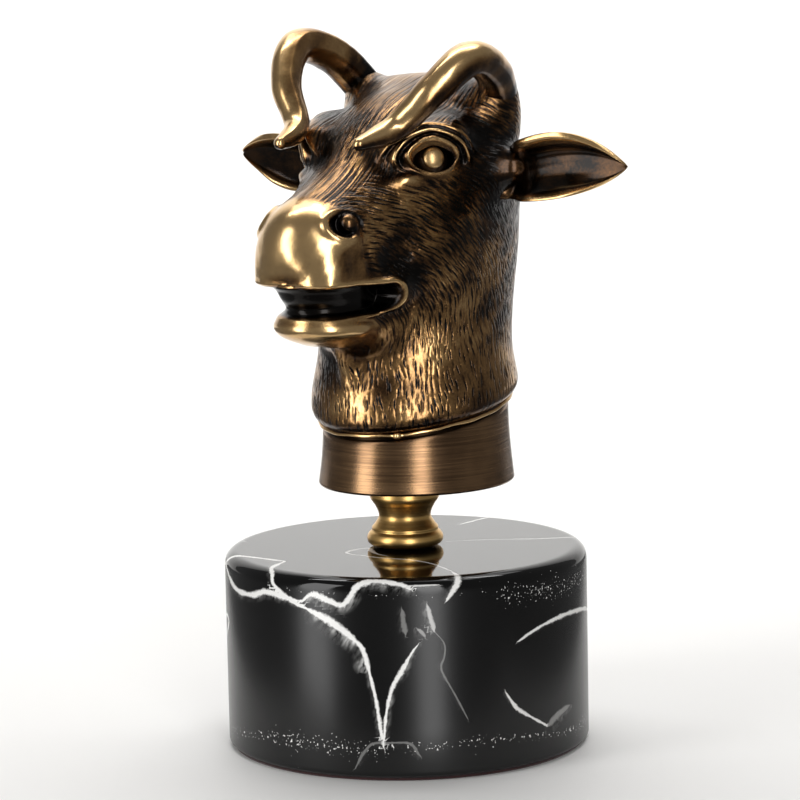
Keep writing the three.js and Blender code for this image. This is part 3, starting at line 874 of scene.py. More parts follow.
@dataclass
class OxHead:
    """The skin of the casting, from the coat's hem to the poll."""

    skin: Skin = field(default_factory=Skin)
    coat: Coat = field(default_factory=Coat)
    cell: float = 0.3
    quick_cell: float = 0.5
    most_triangles: int = 196000
    worn_and_lit: tuple[tuple[tuple[float, float, float], float, float], ...] = (  # place, size, more or less polish; the spots on the neck and cheek are also painted highlights and painted shade
        ((14, -14, 65), 4.5, 0.24),
        ((13, -17.5, 58), 4.5, 0.2),
        ((20.5, 4, 51), 6, 0.1),
        ((14, -9, 38.7), 6, 0.26),
        ((22, 6.4, 36), 6, 0.16),
        ((2, -19, 22), 4.5, 0.3),
        ((14, -10, 23), 4.5, 0.4),
        ((17.5, -4, 57), 5.5, -0.12),
        ((21, 4.5, 63), 6, -0.12),
        ((13, -23, 52), 5, -0.25),
        ((21, 5, 23), 8, -0.4),
        ((8, -26, 70), 6, -0.08),
        ((8, -17, 26), 3.5, -0.3),
        ((18, 4, 87), 5, 0.3),
        ((19, -5, 31), 4.5, 0.2),
    )
    low: tuple[float, float, float] = (-34.0, -50.0, 9.0)
    high: tuple[float, float, float] = (34.0, 40.0, 100.0)

    def bare(self, p: Array) -> Array:
        """Finds how free of hair the skin is.

        Args:
            p: Places on the skin, in parts.

        Returns:
            1 on the muzzle, the lips, the lids and inside the mouth, and 0 in the coat.
        """
        q = folded(p)
        behind = self.skin.behind_muzzle(q) + 0.4 * waves(p, 3.2)
        muzzle = (1 - ramp(-0.6, 0.9, behind)) * ramp(47, 48, q[:, 2])
        lip = 1 - ramp(0.3, 1.2, self.skin.lower_lip(q))
        off = self.skin.from_mouth(q)
        mouth = (1 - ramp(4.8, 5.6, off)) * ramp(-19, -20, q[:, 1])
        n, t, b = self.skin.eye.seen(q)
        rim = self.skin.round_eye(t, b)
        lids = (1 - ramp(8.0, 9.0, rim)) * bell(n, 9) * np.maximum(ramp(-1.5, 1, b), 1 - ramp(5.2, 6, rim))
        tear = bell(self.skin.from_tear(t, b), 2.2) * bell(n, 9)
        hem = 1 - ramp(0.7, 1.5, self.skin.hem(p))
        ear = 1 - ramp(4.5, 7.5, length((q - np.array([29, 9, 76])) * np.array([1, 1, 0.8])))
        return np.clip(np.max([muzzle, lip, mouth, lids, tear, hem, ear], 0), 0, 1)

    def polish_and_painted_light(self, p: Array) -> Array:
        """Finds how brightly the metal is polished, with painted highlights and painted shade mixed in.

        Args:
            p: Places on the skin, in parts.

        Returns:
            The polish and painted light from 0 to 1.
        """
        q = folded(p)
        # The polish stops short of the fold behind the muzzle, which is left dark as painted shade in the
        # fold.
        behind = self.skin.behind_muzzle(q) + 7.5 * bell(q[:, 2] - 55, 5.5) * ramp(8, 11, q[:, 0])
        muzzle = (1 - ramp(-3.2, 1.2, behind + 1.1 * waves(p, 5))) * ramp(47, 48, q[:, 2])
        lip = 1 - ramp(0.3, 1.5, self.skin.lower_lip(q))
        off = self.skin.from_mouth(q)
        corner = bell(off - 4.1, 1.0) * ramp(-19, -20, q[:, 1])
        inside = 1 - ramp(3.0, 3.7, off)
        n, t, b = self.skin.eye.seen(q)
        rim = self.skin.round_eye(t, b)
        nostril = np.hypot(*self.skin.nostril.seen(q)[1:])
        lids = (bell(rim - 4.3, 0.75) + bell(rim - 6.3, 0.75) * ramp(-3, 0.5, b)) * bell(n, 9)
        lids = lids + 0.7 * bell(rim - 8.0, 0.7) * ramp(0, 3, b) * bell(n, 9)
        hem = 0.8 * (1 - ramp(1.0, 3.5, self.skin.hem(p)))
        neck = 1 - ramp(30, 46, p[:, 2] + 0.3 * p[:, 1])
        mottle = 0.18 * waves(p, 26) + 0.15 * waves(p, 9, 1.0)
        patches = 0.46 + 0.18 * neck + mottle * (1 - 0.35 * ramp(10, 24, p[:, 1]))
        # some spots are painted highlights on the neck, and others painted shade on the neck's far side and
        # on the cheek
        for place, size, amount in self.worn_and_lit:
            patches = patches + amount * bell(length(q - np.array(place)), size)
        tear = bell(self.skin.from_tear(t, b), 1.8) * bell(n, 9)
        muzzle = muzzle * (1 - 0.85 * (1 - ramp(2.3, 3.3, nostril)))
        found = np.max([muzzle, lip, corner, lids, tear, hem, patches], 0)
        # painted shade round the ear's root, where it meets the head
        ear = 1 - ramp(5, 10, length(q - np.array([27, 9, 75.5])))
        return np.clip(found * (1 - inside * ramp(-19, -21, q[:, 1])) * (1 - 0.6 * ear), 0, 1)

    def build(self, finish: Material) -> Piece:
        """Draws the skin, cuts the coat into it and thins the mesh where it is plain.

        Args:
            finish: Its material.

        Returns:
            The piece.
        """
        cell = self.cell
        points, quads = Lattice(self.low, self.high, cell).net(self.skin.form)
        points, outward = drawn_onto(self.skin.form, points, 3, 0.6 * cell)
        hair = self.coat.cut(points, outward) * (1 - self.bare(points))
        open_space = self.skin.form(points + 2.5 * outward) / 2.5
        lie, fall, sideways = self.coat.flow(points, outward)
        marks = {
            "cut": hair,
            "polish_and_light": self.polish_and_painted_light(points),
            # painted shade, deeper where the skin closes round a point: in hollows, folds and creases
            "shade": np.clip(1.25 * (1 - open_space), 0, 1),
            "coat": 1 - self.bare(points),
            "lie": lie,
            "fall": fall,
            "sideways": sideways,
        }
        points = points - outward * (self.coat.depth * hair)[:, None]
        piece = mesh_piece("head_skin", placed(points), quads, *CASTING, finish, marks)
        triangles = 2 * len(quads)
        if triangles > self.most_triangles:
            thin = piece.modifiers.new("thin", "DECIMATE")
            thin.ratio = self.most_triangles / triangles
            apply_modifiers(piece)
        log.info("head skin: %d triangles drawn, %d faces kept", triangles, len(piece.data.polygons))
        return piece


def apply_modifiers(piece: Piece) -> None:
    """Makes a piece's modifiers part of its mesh.

    Args:
        piece: The piece, whose mesh is replaced.
    """
    graph = bpy.context.evaluated_depsgraph_get()
    mesh = bpy.data.meshes.new_from_object(piece.evaluated_get(graph))
    piece.modifiers.clear()
    old = piece.data
    piece.data = mesh
    mesh.name = old.name
    bpy.data.meshes.remove(old)


@dataclass
class Horn:
    """One polished horn that arches up, forward and in to a fine tip, with a soft keel along its top."""

    side: Side
    drop: float  # how much lower the middle of its arch lies
    knots: tuple[tuple[float, float, float], ...] = (
        (16.6, 15.5, 84.0),
        (19.5, 13.8, 91.9),
        (23.5, 5.8, 101.1),
        (25.4, -5.4, 103.9),
        (21.7, -14.2, 95.6),
        (14.6, -19.3, 86.1),
        (11.2, -30.4, 82.5),
    )
    lowered: tuple[float, ...] = (0, 0, 1, 1, 0.4, 0, 0)
    root: float = 4.5
    tip: float = 1.9
    keel: float = 0.1  # how far the keel stands out, as a share of the radius
    crowding: float = 1.7  # how much closer the rings stand towards the tip
    top_gap: float = 0.01
    steps: int = 170
    sides: int = 48

    def stations(self) -> Array:
        """Where the rings lie along the horn, from 0 to 1, closer towards the tip."""
        return 1 - (1 - np.linspace(0, 1, self.steps)) ** self.crowding

    def rings(self) -> Array:
        """Draws the horn.

        Returns:
            Its rings in parts.
        """
        knots = np.array(self.knots)
        knots[:, 2] -= self.drop * np.array(self.lowered)
        run = self.stations()
        dense = smooth_path(knots, PATH_POINTS)
        even = np.linspace(0, 1, PATH_POINTS)
        path = np.stack([np.interp(run, even, dense[:, n]) for n in range(3)], -1)
        radius = self.tip + (self.root - self.tip) * (1 - run**2.2) ** 0.85
        closing = np.clip((1 - run) / 0.02, 0, 1)
        radius = radius * (1 - 0.3 * ramp(0.88, 1, run)) * np.sqrt(1 - (1 - closing) ** 2 * 0.995)
        _, up, across = carried_frames(path, np.array([0, 0, 1.0]))
        turn = np.linspace(0, WHOLE_TURN, self.sides, endpoint=False)
        keel = 1 + self.keel * bell(np.abs((turn + math.pi) % WHOLE_TURN - math.pi), 0.35)
        ring = np.cos(turn)[None, :, None] * up[:, None] + np.sin(turn)[None, :, None] * across[:, None]
        rings = path[:, None] + ring * (radius[:, None] * keel)[..., None]
        rings = rings + ring * (0.06 * waves(rings, 7) + 0.03 * waves(rings, 3, 1.0))[..., None]
        rings[..., 0] *= self.side.value
        return rings

    def build(self, name: str, finish: Material) -> Piece:
        """Makes the horn.

        Args:
            name: The piece's name.
            finish: Its material.

        Returns:
            The piece.
        """
        rings = self.rings()
        if self.side is Side.RIGHT:  # the higher horn, which just reaches the top of the casting's box
            rings[..., 2] += PARTS_HIGH - rings[..., 2].max() - self.top_gap
        flank = (rings - rings.mean(axis=1, keepdims=True))[..., 0] * self.side.value / self.root
        inward = np.append(ramp(0.1, -0.6, flank).ravel(), [0, 0])
        points, faces = loft(rings)
        if self.side is Side.RIGHT:
            faces = faces[:, ::-1]
        run = np.append(np.repeat(self.stations(), self.sides), [0, 1])
        # The underside is painted darker, a painted shade, and the root is left dull.
        shaded_underside = np.cos(np.linspace(0, WHOLE_TURN, self.sides, endpoint=False))
        shaded_underside = np.append(np.tile(ramp(-0.1, -0.8, shaded_underside), self.steps), [0, 0])
        dull_and_shaded = np.maximum(1 - ramp(0.1, 0.3, run + 0.03 * waves(points, 4)), 0.62 * shaded_underside)
        marks = {
            "polish_and_light": np.clip(0.97 - 0.75 * dull_and_shaded - 0.3 * inward + 0.16 * waves(points, 8), 0, 1),
            "shade": np.clip(0.5 * dull_and_shaded + 0.1 * inward, 0, 1),
        }
        return mesh_piece(name, placed(points), faces, *CASTING, finish, marks)


@dataclass
class Ear:
    """One ear: a leaf with a dark hollow and a rolled, polished rim."""

    side: Side
    fullness: float  # its height as a share of the full leaf's
    arch: float  # how far its middle line bows up
    root: tuple[float, float, float] = (24.6, 7.6, 73.9)
    tip: tuple[float, float, float] = (57.45, 9.2, 76.4)
    cup: float = 4.8
    wall: float = 2.1
    root_thickness: float = 5.5
    slim: float = 0.0  # how much of the lower half is taken off near the tip
    dull_and_shaded: float = 0.22  # the polish where painted shade darkens the back of the ear near its root
    blade_back: float = 2.4  # how far the blade's middle lies behind its edges
    root_back: float = 2.2
    steps: int = 110
    rows: int = 56

    def rings(self) -> tuple[Array, Array, Array]:
        """Draws the ear.

        Returns:
            Its rings in parts, with the place along it and the place across it of each point.
        """
        root, tip = np.array(self.root), np.array(self.tip)
        span = np.linalg.norm(tip - root)
        axis = (tip - root) / span
        up = unit(np.array([0, 0, 1.0]) - axis * axis[2])
        front = np.cross(axis, up)
        front = -front if front[1] > 0 else front
        s = np.linspace(-0.16, 1, self.steps)[:, None]
        along = np.clip(s, 0, 1)
        half = (5.8 + 6.0 * along) * (1 - along**2.8) * self.fullness
        closing = np.sqrt(np.clip(1 - along**12, 0, 1))
        half = np.hypot(half, 1.5 * closing + 0.05)
        arch = self.arch * np.sin(np.pi * along**1.3)
        cup = self.cup * ramp(-0.05, 0.22, along) * (1 - 0.85 * ramp(0.5, 1, along)) * closing
        fleshy = 1 - ramp(-0.1, 0.08, s)
        thick = self.wall * (1 - 0.6 * along**4) * (1 - fleshy) * closing + self.root_thickness * fleshy
        turn = np.linspace(0, WHOLE_TURN, 2 * self.rows, endpoint=False)[None]
        w = -np.cos(turn)
        half = half * (1 - self.slim * ramp(0.3, 0.8, along) * ramp(0.2, -0.2, w))
        lift = np.sin(turn)
        blade = np.sign(lift) * np.abs(lift) ** 0.45
        upper = ramp(-0.2, 0.2, w)
        roll = (0.9 + 0.9 * upper) * bell(np.abs(w) - 0.9 + 0.1 * upper, 0.11 + 0.1 * upper)
        roll = roll * ramp(0.0, 0.25, along) * closing
        body = (1 - 0.25 * w**4) * blade * (1 - fleshy) + lift * fleshy
        folds = 0.14 * bell(w - 0.12, 0.1) - 0.12 * bell(w + 0.3, 0.12)
        folds = np.where(lift > 0, folds, 0) * ramp(0.05, 0.25, along) * (1 - ramp(0.6, 0.85, along))
        forward = folds + cup * w**2 + thick / 2 * body + np.where(lift > 0, roll, 0.3 * roll)
        forward = forward - self.blade_back * (1 - fleshy) - self.root_back * (1 - ramp(-0.05, 0.3, s))
        place = root + axis * (s * span)[..., None]
        rings = place + up * (w * half + arch)[..., None] + front * forward[..., None]
        return rings, np.broadcast_to(s, rings.shape[:2]), np.broadcast_to(w, rings.shape[:2])

    def build(self, name: str, finish: Material) -> Piece:
        """Makes the ear.

        Args:
            name: The piece's name.
            finish: Its material.

        Returns:
            The piece.
        """
        rings, run, across = self.rings()
        hollow = (np.sin(np.linspace(0, WHOLE_TURN, 2 * self.rows, endpoint=False)) > 0)[None]
        edge = np.abs(across) + 0.16 * ramp(-0.2, 0.2, across)
        inner = hollow * (1 - ramp(0.74, 0.84, edge)) * ramp(-0.02, 0.06, run)
        inner = inner * (1 - 0.6 * ramp(0.75, 1, run))
        polish_and_light = 0.4 + 0.5 * ramp(0.76, 0.9, edge) * ramp(0.0, 0.3, run) + 0.15 * waves(rings, 9)
        polish_and_light = polish_and_light + 0.5 * hollow * bell(edge - 0.86, 0.05) * ramp(0.05, 0.3, run)
        polish_and_light = polish_and_light * (1 - 0.72 * inner)
        # The back of the ear fades to painted shade towards its root, where it meets the head.
        clear_of_root_shade = ramp(-0.02, 0.42, run + 0.03 * waves(rings, 5))
        polish_and_light = self.dull_and_shaded + (polish_and_light - self.dull_and_shaded) * np.where(hollow, 1, clear_of_root_shade)
        rings[..., 0] *= self.side.value
        points, faces = loft(rings)
        if self.side is Side.LEFT:
            faces = faces[:, ::-1]
        marks = {
            "polish_and_light": np.clip(np.append(polish_and_light.ravel(), [0.3, 0.8]), 0, 1),
            "shade": np.clip(np.append(0.06 * inner.ravel(), [0.5, 0]), 0, 1),
        }
        return mesh_piece(name, placed(points), faces, *CASTING, finish, marks)


@dataclass
class Eye:
    """One polished eyeball set in its socket."""

    side: Side
    skin: Skin = field(default_factory=Skin)
    steps: int = 60
    sides: int = 64
    pole: float = 0.03  # how far the first ring lies from the ball's pole, in radians
    pupil_reach: float = 0.58  # how far the pupil reaches from the pole, in radians
    pupil_bulge: float = 0.75

    def build(self, name: str, finish: Material) -> Piece:
        """Makes the eyeball.

        Args:
            name: The piece's name.
            finish: Its material.

        Returns:
            The piece.
        """
        outward, forth, up = self.skin.eye.axes()
        centre = np.asarray(self.skin.eye.at) - self.skin.eye_sink * outward
        fall = np.linspace(self.pole, math.pi - self.pole, self.steps)[:, None]
        turn = np.linspace(0, WHOLE_TURN, self.sides, endpoint=False)[None]
        ball = (
            np.cos(fall)[..., None] * outward * np.ones_like(turn)[..., None]
            + (np.sin(fall) * np.cos(turn))[..., None] * forth
            + (np.sin(fall) * np.sin(turn))[..., None] * up
        )
        pupil = 1 - ramp(self.pupil_reach - 0.06, self.pupil_reach + 0.06, fall)
        dome = np.sqrt(np.clip(1 - (fall / self.pupil_reach) ** 2, 0, 1))
        bulge = 0.15 * pupil + self.pupil_bulge * dome
        rings = centre + ball * (self.skin.eye_ball + bulge)[..., None]
        rings[..., 0] *= self.side.value
        points, faces = loft(rings)
        if np.dot(np.cross(forth, up), outward) * self.side.value < 0:
            faces = faces[:, ::-1]
        # Outside the polished pupil the ball is painted dark: a painted shadow of the socket and lids round
        # it.
        edge = np.append(np.repeat(1 - pupil[:, 0], self.sides), [0, 1])
        marks = {"polish_and_light": 0.86 - 0.72 * edge, "shade": 0.05 * edge}
        return mesh_piece(name, placed(points), faces, *CASTING, finish, marks)


@dataclass
class Collar:
    """The plain oval collar under the coat, with a groove and a thin polished lip along the hem."""

    half_width: float = 22.7
    half_depth: float = 24.6
    centre: float = 5.0
    taper: float = 1.1
    hollow: float = 0.25  # how far the side bows in at mid height
    foot_round: float = 0.7
    groove_depth: float = 0.55
    groove_width: float = 0.9
    lip_radius: float = 0.42
    lip_stand_off: float = 0.75
    knob_turn: float = math.radians(29)
    knob_height: float = 0.55
    knob_width: float = 0.035  # in radians round the collar
    tuck: float = 2.5  # how far the wall runs on under the coat
    underside_inset: float = 4.0
    sides: int = 288
    rows: int = 90
    skin: Skin = field(default_factory=Skin)

    def ring(self, turn: Array, inset: Array) -> tuple[Array, Array]:
        """Places on an oval that lies inside the collar's rim by the inset.

        Args:
            turn: Angles from the front towards the ox's left.
            inset: How far inside the rim.

        Returns:
            The x and y places.
        """
        x = (self.half_width - inset) * np.sin(turn)
        y = self.centre - (self.half_depth - inset) * np.cos(turn)
        return x, y

    def hem_at(self, turn: Array) -> Array:
        """Height of the coat's lower edge at the collar's side."""
        return self.skin.hem_middle + self.skin.hem_slope * self.ring(turn, np.zeros_like(turn))[1]

    def build(self, finish: Material) -> Piece:
        """Makes the collar's wall and its closed underside.

        Args:
            finish: Its material.

        Returns:
            The piece.
        """
        turn = np.linspace(0, WHOLE_TURN, self.sides, endpoint=False)[None]
        top = self.hem_at(turn) + self.tuck
        foot = np.linspace(0, math.pi / 2, 7)[:, None]
        foot_inset = self.foot_round * (1 - np.sin(foot)) * np.ones_like(turn)
        foot_height = self.foot_round * (1 - np.cos(foot)) * np.ones_like(turn)
        run = np.linspace(0, 1, self.rows)[1:, None]
        height = self.foot_round + run * (top - self.foot_round)
        inset = self.taper * np.sin(run * math.pi / 2) + self.hollow * np.sin(run * math.pi)
        below = self.hem_at(turn) - self.lip_radius - height
        inset = inset + self.groove_depth * bell(np.maximum(below - 0.25, 0), self.groove_width)
        base = np.full((1, self.sides), self.underside_inset)
        inset = np.vstack([base, foot_inset, inset])
        height = np.vstack([np.zeros_like(base), foot_height, height])
        x, y = self.ring(turn, inset)
        points, faces = loft(np.stack([x, y, height], -1))
        below = self.hem_at(turn) - self.lip_radius - height
        # painted shadow on the wall just under the coat's hem lip, where the coat overhangs
        dark = np.append(bell(np.maximum(below - 0.3, 0), 0.7).ravel(), [0, 1])
        return mesh_piece("collar", placed(points), faces, *CASTING, finish, {"shade": dark})

    def build_lip(self, finish: Material) -> Piece:
        """Makes the thin lip along the hem, with one small cast knob on it.

        Args:
            finish: Its material.

        Returns:
            The piece.
        """
        turn = np.linspace(0, WHOLE_TURN, self.sides * 2, endpoint=False)
        wander = 0.1 * np.sin(7 * turn + 0.4) + 0.07 * np.sin(17 * turn + 2.0)
        x, y = self.ring(turn, self.taper - self.lip_stand_off + 0.5 * wander)
        path = np.stack([x, y, self.hem_at(turn) + 0.1 + wander], -1)
        away = np.angle(np.exp(1j * (turn - self.knob_turn)))
        knob = self.knob_height * bell(away, self.knob_width)
        radius = self.lip_radius * (1 + 0.12 * np.sin(11 * turn)) + knob
        outward = np.stack([np.sin(turn), -np.cos(turn), np.zeros_like(turn)], -1)
        around = np.linspace(0, WHOLE_TURN, 12, endpoint=False)
        upward = np.array([0, 0, 1.0])
        ring = np.cos(around)[None, :, None] * outward[:, None] + np.sin(around)[None, :, None] * upward
        rings = path[:, None] + ring * radius[:, None, None]
        points, faces = loft(rings, looped=True)
        marks = {"polish_and_light": np.full(len(points), 0.95)}
        return mesh_piece("hem_lip", placed(points), faces, *CASTING, finish, marks)


def turned(profile: Array, sides: int, low: float) -> tuple[Array, Array]:
    """Turns a profile about the upright axis.

    Args:
        profile: Rows of radius and height in metres, from the bottom up.
        sides: How many sides the round has.
        low: Height of the profile's zero in the object's frame.

    Returns:
        The points and the triangles.
    """
    turn = np.linspace(0, WHOLE_TURN, sides, endpoint=False)[None]
    radius, height = profile[:, :1], profile[:, 1:]
    rings = np.stack([radius * np.sin(turn), -radius * np.cos(turn), low + height * np.ones_like(turn)], -1)
    return loft(rings)


@dataclass
class Stem:
    """The short turned stem: a rolled foot, a shallow groove, a waist and a flange."""

    foot_radius: float = 9.1
    neck_radius: float = 6.2
    top_radius: float = 8.3
    flange_edge: float = 0.15
    sides: int = 160

    def profile(self) -> Array:
        """Draws the stem's outline.

        Returns:
            Rows of radius and height in metres, from the bottom up.
        """
        knots = np.array(
            [
                (self.foot_radius - 1.5, 0.0),
                (self.foot_radius - 0.55, 0.45),
                (self.foot_radius - 0.08, 1.2),
                (self.foot_radius - 0.05, 2.1),
                (self.foot_radius - 0.5, 3.0),
                (self.foot_radius - 1.15, 3.7),
                (self.foot_radius - 1.2, 4.3),
                (self.foot_radius - 1.9, 5.2),
                (self.neck_radius + 0.15, 6.5),
                (self.neck_radius, 7.4),
                (self.neck_radius + 0.35, 8.6),
                (self.top_radius - 1.0, 10.0),
                (self.top_radius - 0.35, 10.9),
                (self.top_radius - 0.05, 11.5),
            ]
        )
        height = (STEM_HIGH.z - STEM_LOW.z) / MM
        curve = smooth_path(knots, 110)
        edge = self.flange_edge
        flange = [(self.top_radius, 11.9), (self.top_radius, height - edge), (self.top_radius - edge, height)]
        return np.vstack([curve, flange]) * MM

    def build(self, finish: Material) -> Piece:
        """Makes the stem.

        Args:
            finish: Its material.

        Returns:
            The piece.
        """
        points, faces = turned(self.profile(), self.sides, STEM_LOW.z)
        return mesh_piece("turned_stem", points, faces, "stem", "turned_brass", finish)


@dataclass(frozen=True)
class Vein:
    """A white vein in the resin, as places of turn in degrees and reach in millimetres.

    Turn runs about the axis from the front towards the ox's left. Reach runs from the foot up the side, and
    then in over the top.
    """

    places: tuple[tuple[float, float], ...]
    width: float
    wisp: float = 0.3
    strength: float = 1.0


@dataclass
class ResinBase:
    """The round base of black resin, with veins that run over its rounded shoulder."""

    radius: float = 43.2
    height: float = 46.0
    shoulder: float = 3.0
    foot_round: float = 0.8
    cell: float = 0.56
    quick_cell: float = 1.2
    veins: tuple[Vein, ...] = (
        Vein(((-48, 43), (-44, 44), (-38, 49), (-30, 53), (-20, 56)), 0.68),
        Vein(((-20, 56), (-14, 50), (-9, 46), (-7, 43), (0, 40), (6, 38.5)), 0.64),
        Vein(((6, 38.5), (14, 36), (20, 33), (24, 30), (26, 25)), 0.92, 0.9),
        Vein(((26, 25), (28, 18), (29, 12), (30, 7)), 0.44, 0.3),
        Vein(((-44, 44), (-36, 41), (-28, 39.3), (-18, 39.5), (-11, 41), (-2, 40.5), (4, 40)), 0.74, 0.4),
        Vein(
            ((4, 40), (8, 42), (13, 41), (18, 40), (21, 42.5), (23, 45), (28, 47), (36, 45.5), (39, 44)),
            0.72,
            0.6,
        ),
        Vein(((30, 8), (31, 15), (33, 21), (36, 25), (39, 29), (41, 31)), 0.45, 0.35),
        Vein(((126, 40), (135, 46), (136, 58), (141, 69), (146, 79)), 0.4, 0.15, 0.75),
        Vein(
            ((20, 75), (-31, 80), (-22, 73), (2, 73), (36, 71), (50, 66), (54, 59), (55, 53)), 0.5, 0.15, 0.8
        ),
        Vein(((55, 53), (54, 46), (52, 43), (50, 41)), 0.74, 0.3),
        Vein(((74, 29.5), (79, 31), (86, 32.3), (98, 33), (112, 32), (124, 30)), 0.52, 0.2),
        Vein(((69, 18), (73, 14), (79, 11), (86, 8)), 0.4, 0.25, 0.9),
        Vein(((44, 40), (45, 37), (46, 34)), 0.6, 0.5, 0.6),
        Vein(((46, 34), (49, 31), (49, 28), (48, 25), (52, 19), (56, 13)), 0.2, 0.3, 0.2),
        Vein(((36.5, 39), (36.8, 36), (37.4, 33.6)), 0.7, 0.4, 0.22),
        Vein(((41, 34.6), (42.5, 33.6), (43.2, 32.8)), 0.4, 0.5, 0.35),
        Vein(((86, 8), (92, 10), (98, 11)), 0.9, 0.8, 0.26),
        Vein(((21, 2), (24, 6), (27, 8), (32, 8.2), (38, 8), (41, 5)), 0.35, 0.4, 0.18),
        Vein(((38, 45), (48, 45)), 0.19, 0.2, 0.8),
        Vein(((-52, 27), (-46, 31), (-40, 30), (-49, 24)), 0.37, 0.3),
        Vein(((150, 6), (158, 18), (171, 27), (178, 38), (186, 47), (190, 60)), 0.56, 0.7),
        Vein(((171, 27), (190, 24), (208, 27), (222, 22)), 0.31, 0.4, 0.8),
        Vein(((222, 44), (236, 36), (247, 26), (251, 14), (262, 8)), 0.5, 0.5, 0.9),
        Vein(((247, 26), (266, 30), (284, 41), (296, 50)), 0.31, 0.3, 0.8),
    )

    def profile(self, cell: float) -> tuple[Array, Array]:
        """The outline as radius and height in millimetres, and the reach at each place.

        Args:
            cell: Distance between the places.

        Returns:
            The places and the reach.
        """

        def bend(round_size: float, level: float, start: float) -> Array:
            """Draws a quarter round between two sides of the outline.

            Args:
                round_size: Its radius.
                level: Height of its middle.
                start: The angle that it starts at.

            Returns:
                Its places.
            """
            turn = start + np.linspace(0, math.pi / 2, max(4, round(round_size * 1.6 / cell)))
            inset = round_size * (1 - np.cos(turn))
            return np.stack([self.radius - inset, level + round_size * np.sin(turn)], -1)

        foot = bend(self.foot_round, self.foot_round, -math.pi / 2)
        shoulder = bend(self.shoulder, self.height - self.shoulder, 0)
        side = np.linspace(foot[-1], shoulder[0], round(shoulder[0][1] / cell))[1:-1]
        top = np.linspace(shoulder[-1], (1.0, self.height), round(shoulder[-1][0] / cell))[1:]
        places = np.vstack([foot, side, shoulder, top])
        reach = places[:, 1] + (self.radius - places[:, 0]) * (places[:, 1] > 1)
        return places, reach

    def on_surface(self, turn: Array, reach: Array) -> Array:
        """Finds places on the base.

        Args:
            turn: Turn about the axis in degrees.
            reach: Reach up the side and in over the top, in millimetres.

        Returns:
            The places in millimetres above its foot.
        """
        places, at = self.profile(0.25)
        order = np.argsort(at)
        radius = np.interp(reach, at[order], places[order, 0])
        height = np.interp(reach, at[order], places[order, 1])
        angle = np.radians(turn)
        return np.stack([radius * np.sin(angle), -radius * np.cos(angle), height], -1)

    def build(self, finish: Material) -> Piece:
        """Makes the base and marks where its veins and specks lie.

        Args:
            finish: Its material.

        Returns:
            The piece.
        """
        cell = self.cell
        places, _ = self.profile(cell)
        sides = round(WHOLE_TURN * self.radius / cell / 1.15)
        points, faces = turned(places * MM, sides, BASE_LOW.z)
        local = points / MM - np.array([0, 0, BASE_LOW.z / MM])
        turn = np.degrees(np.arctan2(local[:, 0], -local[:, 1]))
        marks = self.vein_marks(local)
        marks["speck"] = self.speck_mark(turn, local[:, 2])
        side_ends = self.height - self.shoulder - 0.5
        marks["side"] = 1 - ramp(side_ends, self.height - 0.6 * self.shoulder, local[:, 2])
        return mesh_piece("veined_base", points, faces, "base", "black_resin", finish, marks)

    def vein_marks(self, local: Array) -> dict[str, Array]:
        """Marks where the veins lie.

        Args:
            local: Places on the base, in millimetres above its foot.

        Returns:
            For each place, the distance to the nearest vein, with a sign for the side that it lies on, the
            distance to the vein's edge, the vein's half width, its wispiness and its strength.
        """
        nearest = np.full(len(local), 9.0)
        offset = np.full(len(local), 9.0)
        width = np.full(len(local), 0.5)
        wisp = np.zeros(len(local))
        strength = np.ones(len(local))
        for one in self.veins:
            path = smooth_path(np.array(one.places, float), VEIN_POINTS)
            line = self.on_surface(path[:, 0], path[:, 1])
            run = np.linspace(0, 1, len(line))
            half = one.width * (0.3 + 0.7 * np.sqrt(np.clip(np.minimum(run, 1 - run) * 5, 0, 1)))
            half = half * (1 + 0.3 * waves(line, 9, one.width) + 0.2 * waves(line, 3.5, 2 * one.width))
            flat = ramp(self.height - self.shoulder, self.height + 1, path[:, 1])[:, None]
            radial = line * np.array([1, 1, 0]) / np.maximum(length(line[:, :2]), 1)[:, None]
            normal = radial * (1 - flat) + np.array([0, 0, 1]) * flat
            beside = np.cross(np.gradient(line, axis=0), normal)
            rows = np.nonzero(length(local - line.mean(0)) < length(line - line.mean(0)).max() + 6)[0]
            for start in range(0, len(rows), VEIN_BATCH):
                some = rows[start : start + VEIN_BATCH]
                apart = local[some, None] - line[None]
                gap = length(apart)
                which = gap.argmin(1)
                at = np.arange(len(some))
                gap = gap[at, which]
                side = np.sign((apart[at, which] * beside[which]).sum(1))
                closer = gap - half[which] < nearest[some]
                chosen = some[closer]
                nearest[chosen] = (gap - half[which])[closer]
                offset[chosen] = (gap * side)[closer]
                width[chosen] = half[which][closer]
                wisp[chosen] = one.wisp
                strength[chosen] = one.strength
        return {
            "offset": np.clip(offset, -4, 4),
            "apart": np.clip(nearest, 0, 4),
            "width": width,
            "wisp": wisp,
            "strength": strength,
        }

    def speck_mark(self, turn: Array, height: Array) -> Array:
        """How thickly the fine white specks lie at each place, from 0 to 1.

        Args:
            turn: Turn about the axis in degrees.
            height: Height above the foot in millimetres.

        Returns:
            The amount at each place.
        """
        angle = np.radians(turn)
        low = 6.3 + 1.1 * np.sin(2 * angle + 0.4) + 0.7 * np.sin(5 * angle + 2)
        low_reach = 1.6 + 0.8 * np.sin(3 * angle + 1) + 0.5 * np.sin(7 * angle)
        high = 42.4 - 2.2 * ramp(60, 72, turn) + 0.3 * np.sin(6 * angle)
        high_reach = 0.45 + 3.0 * ramp(58, 72, turn) * (1 - ramp(112, 135, turn))
        high_share = 0.35 + 0.55 * ramp(-20, 0, turn) * (1 - ramp(60, 64, turn)) + 0.55 * ramp(64, 70, turn)
        below = 0.85 * bell(height - low, low_reach + 0.6)
        return np.clip(np.maximum(below, high_share * bell(height - high, high_reach)), 0, 1)


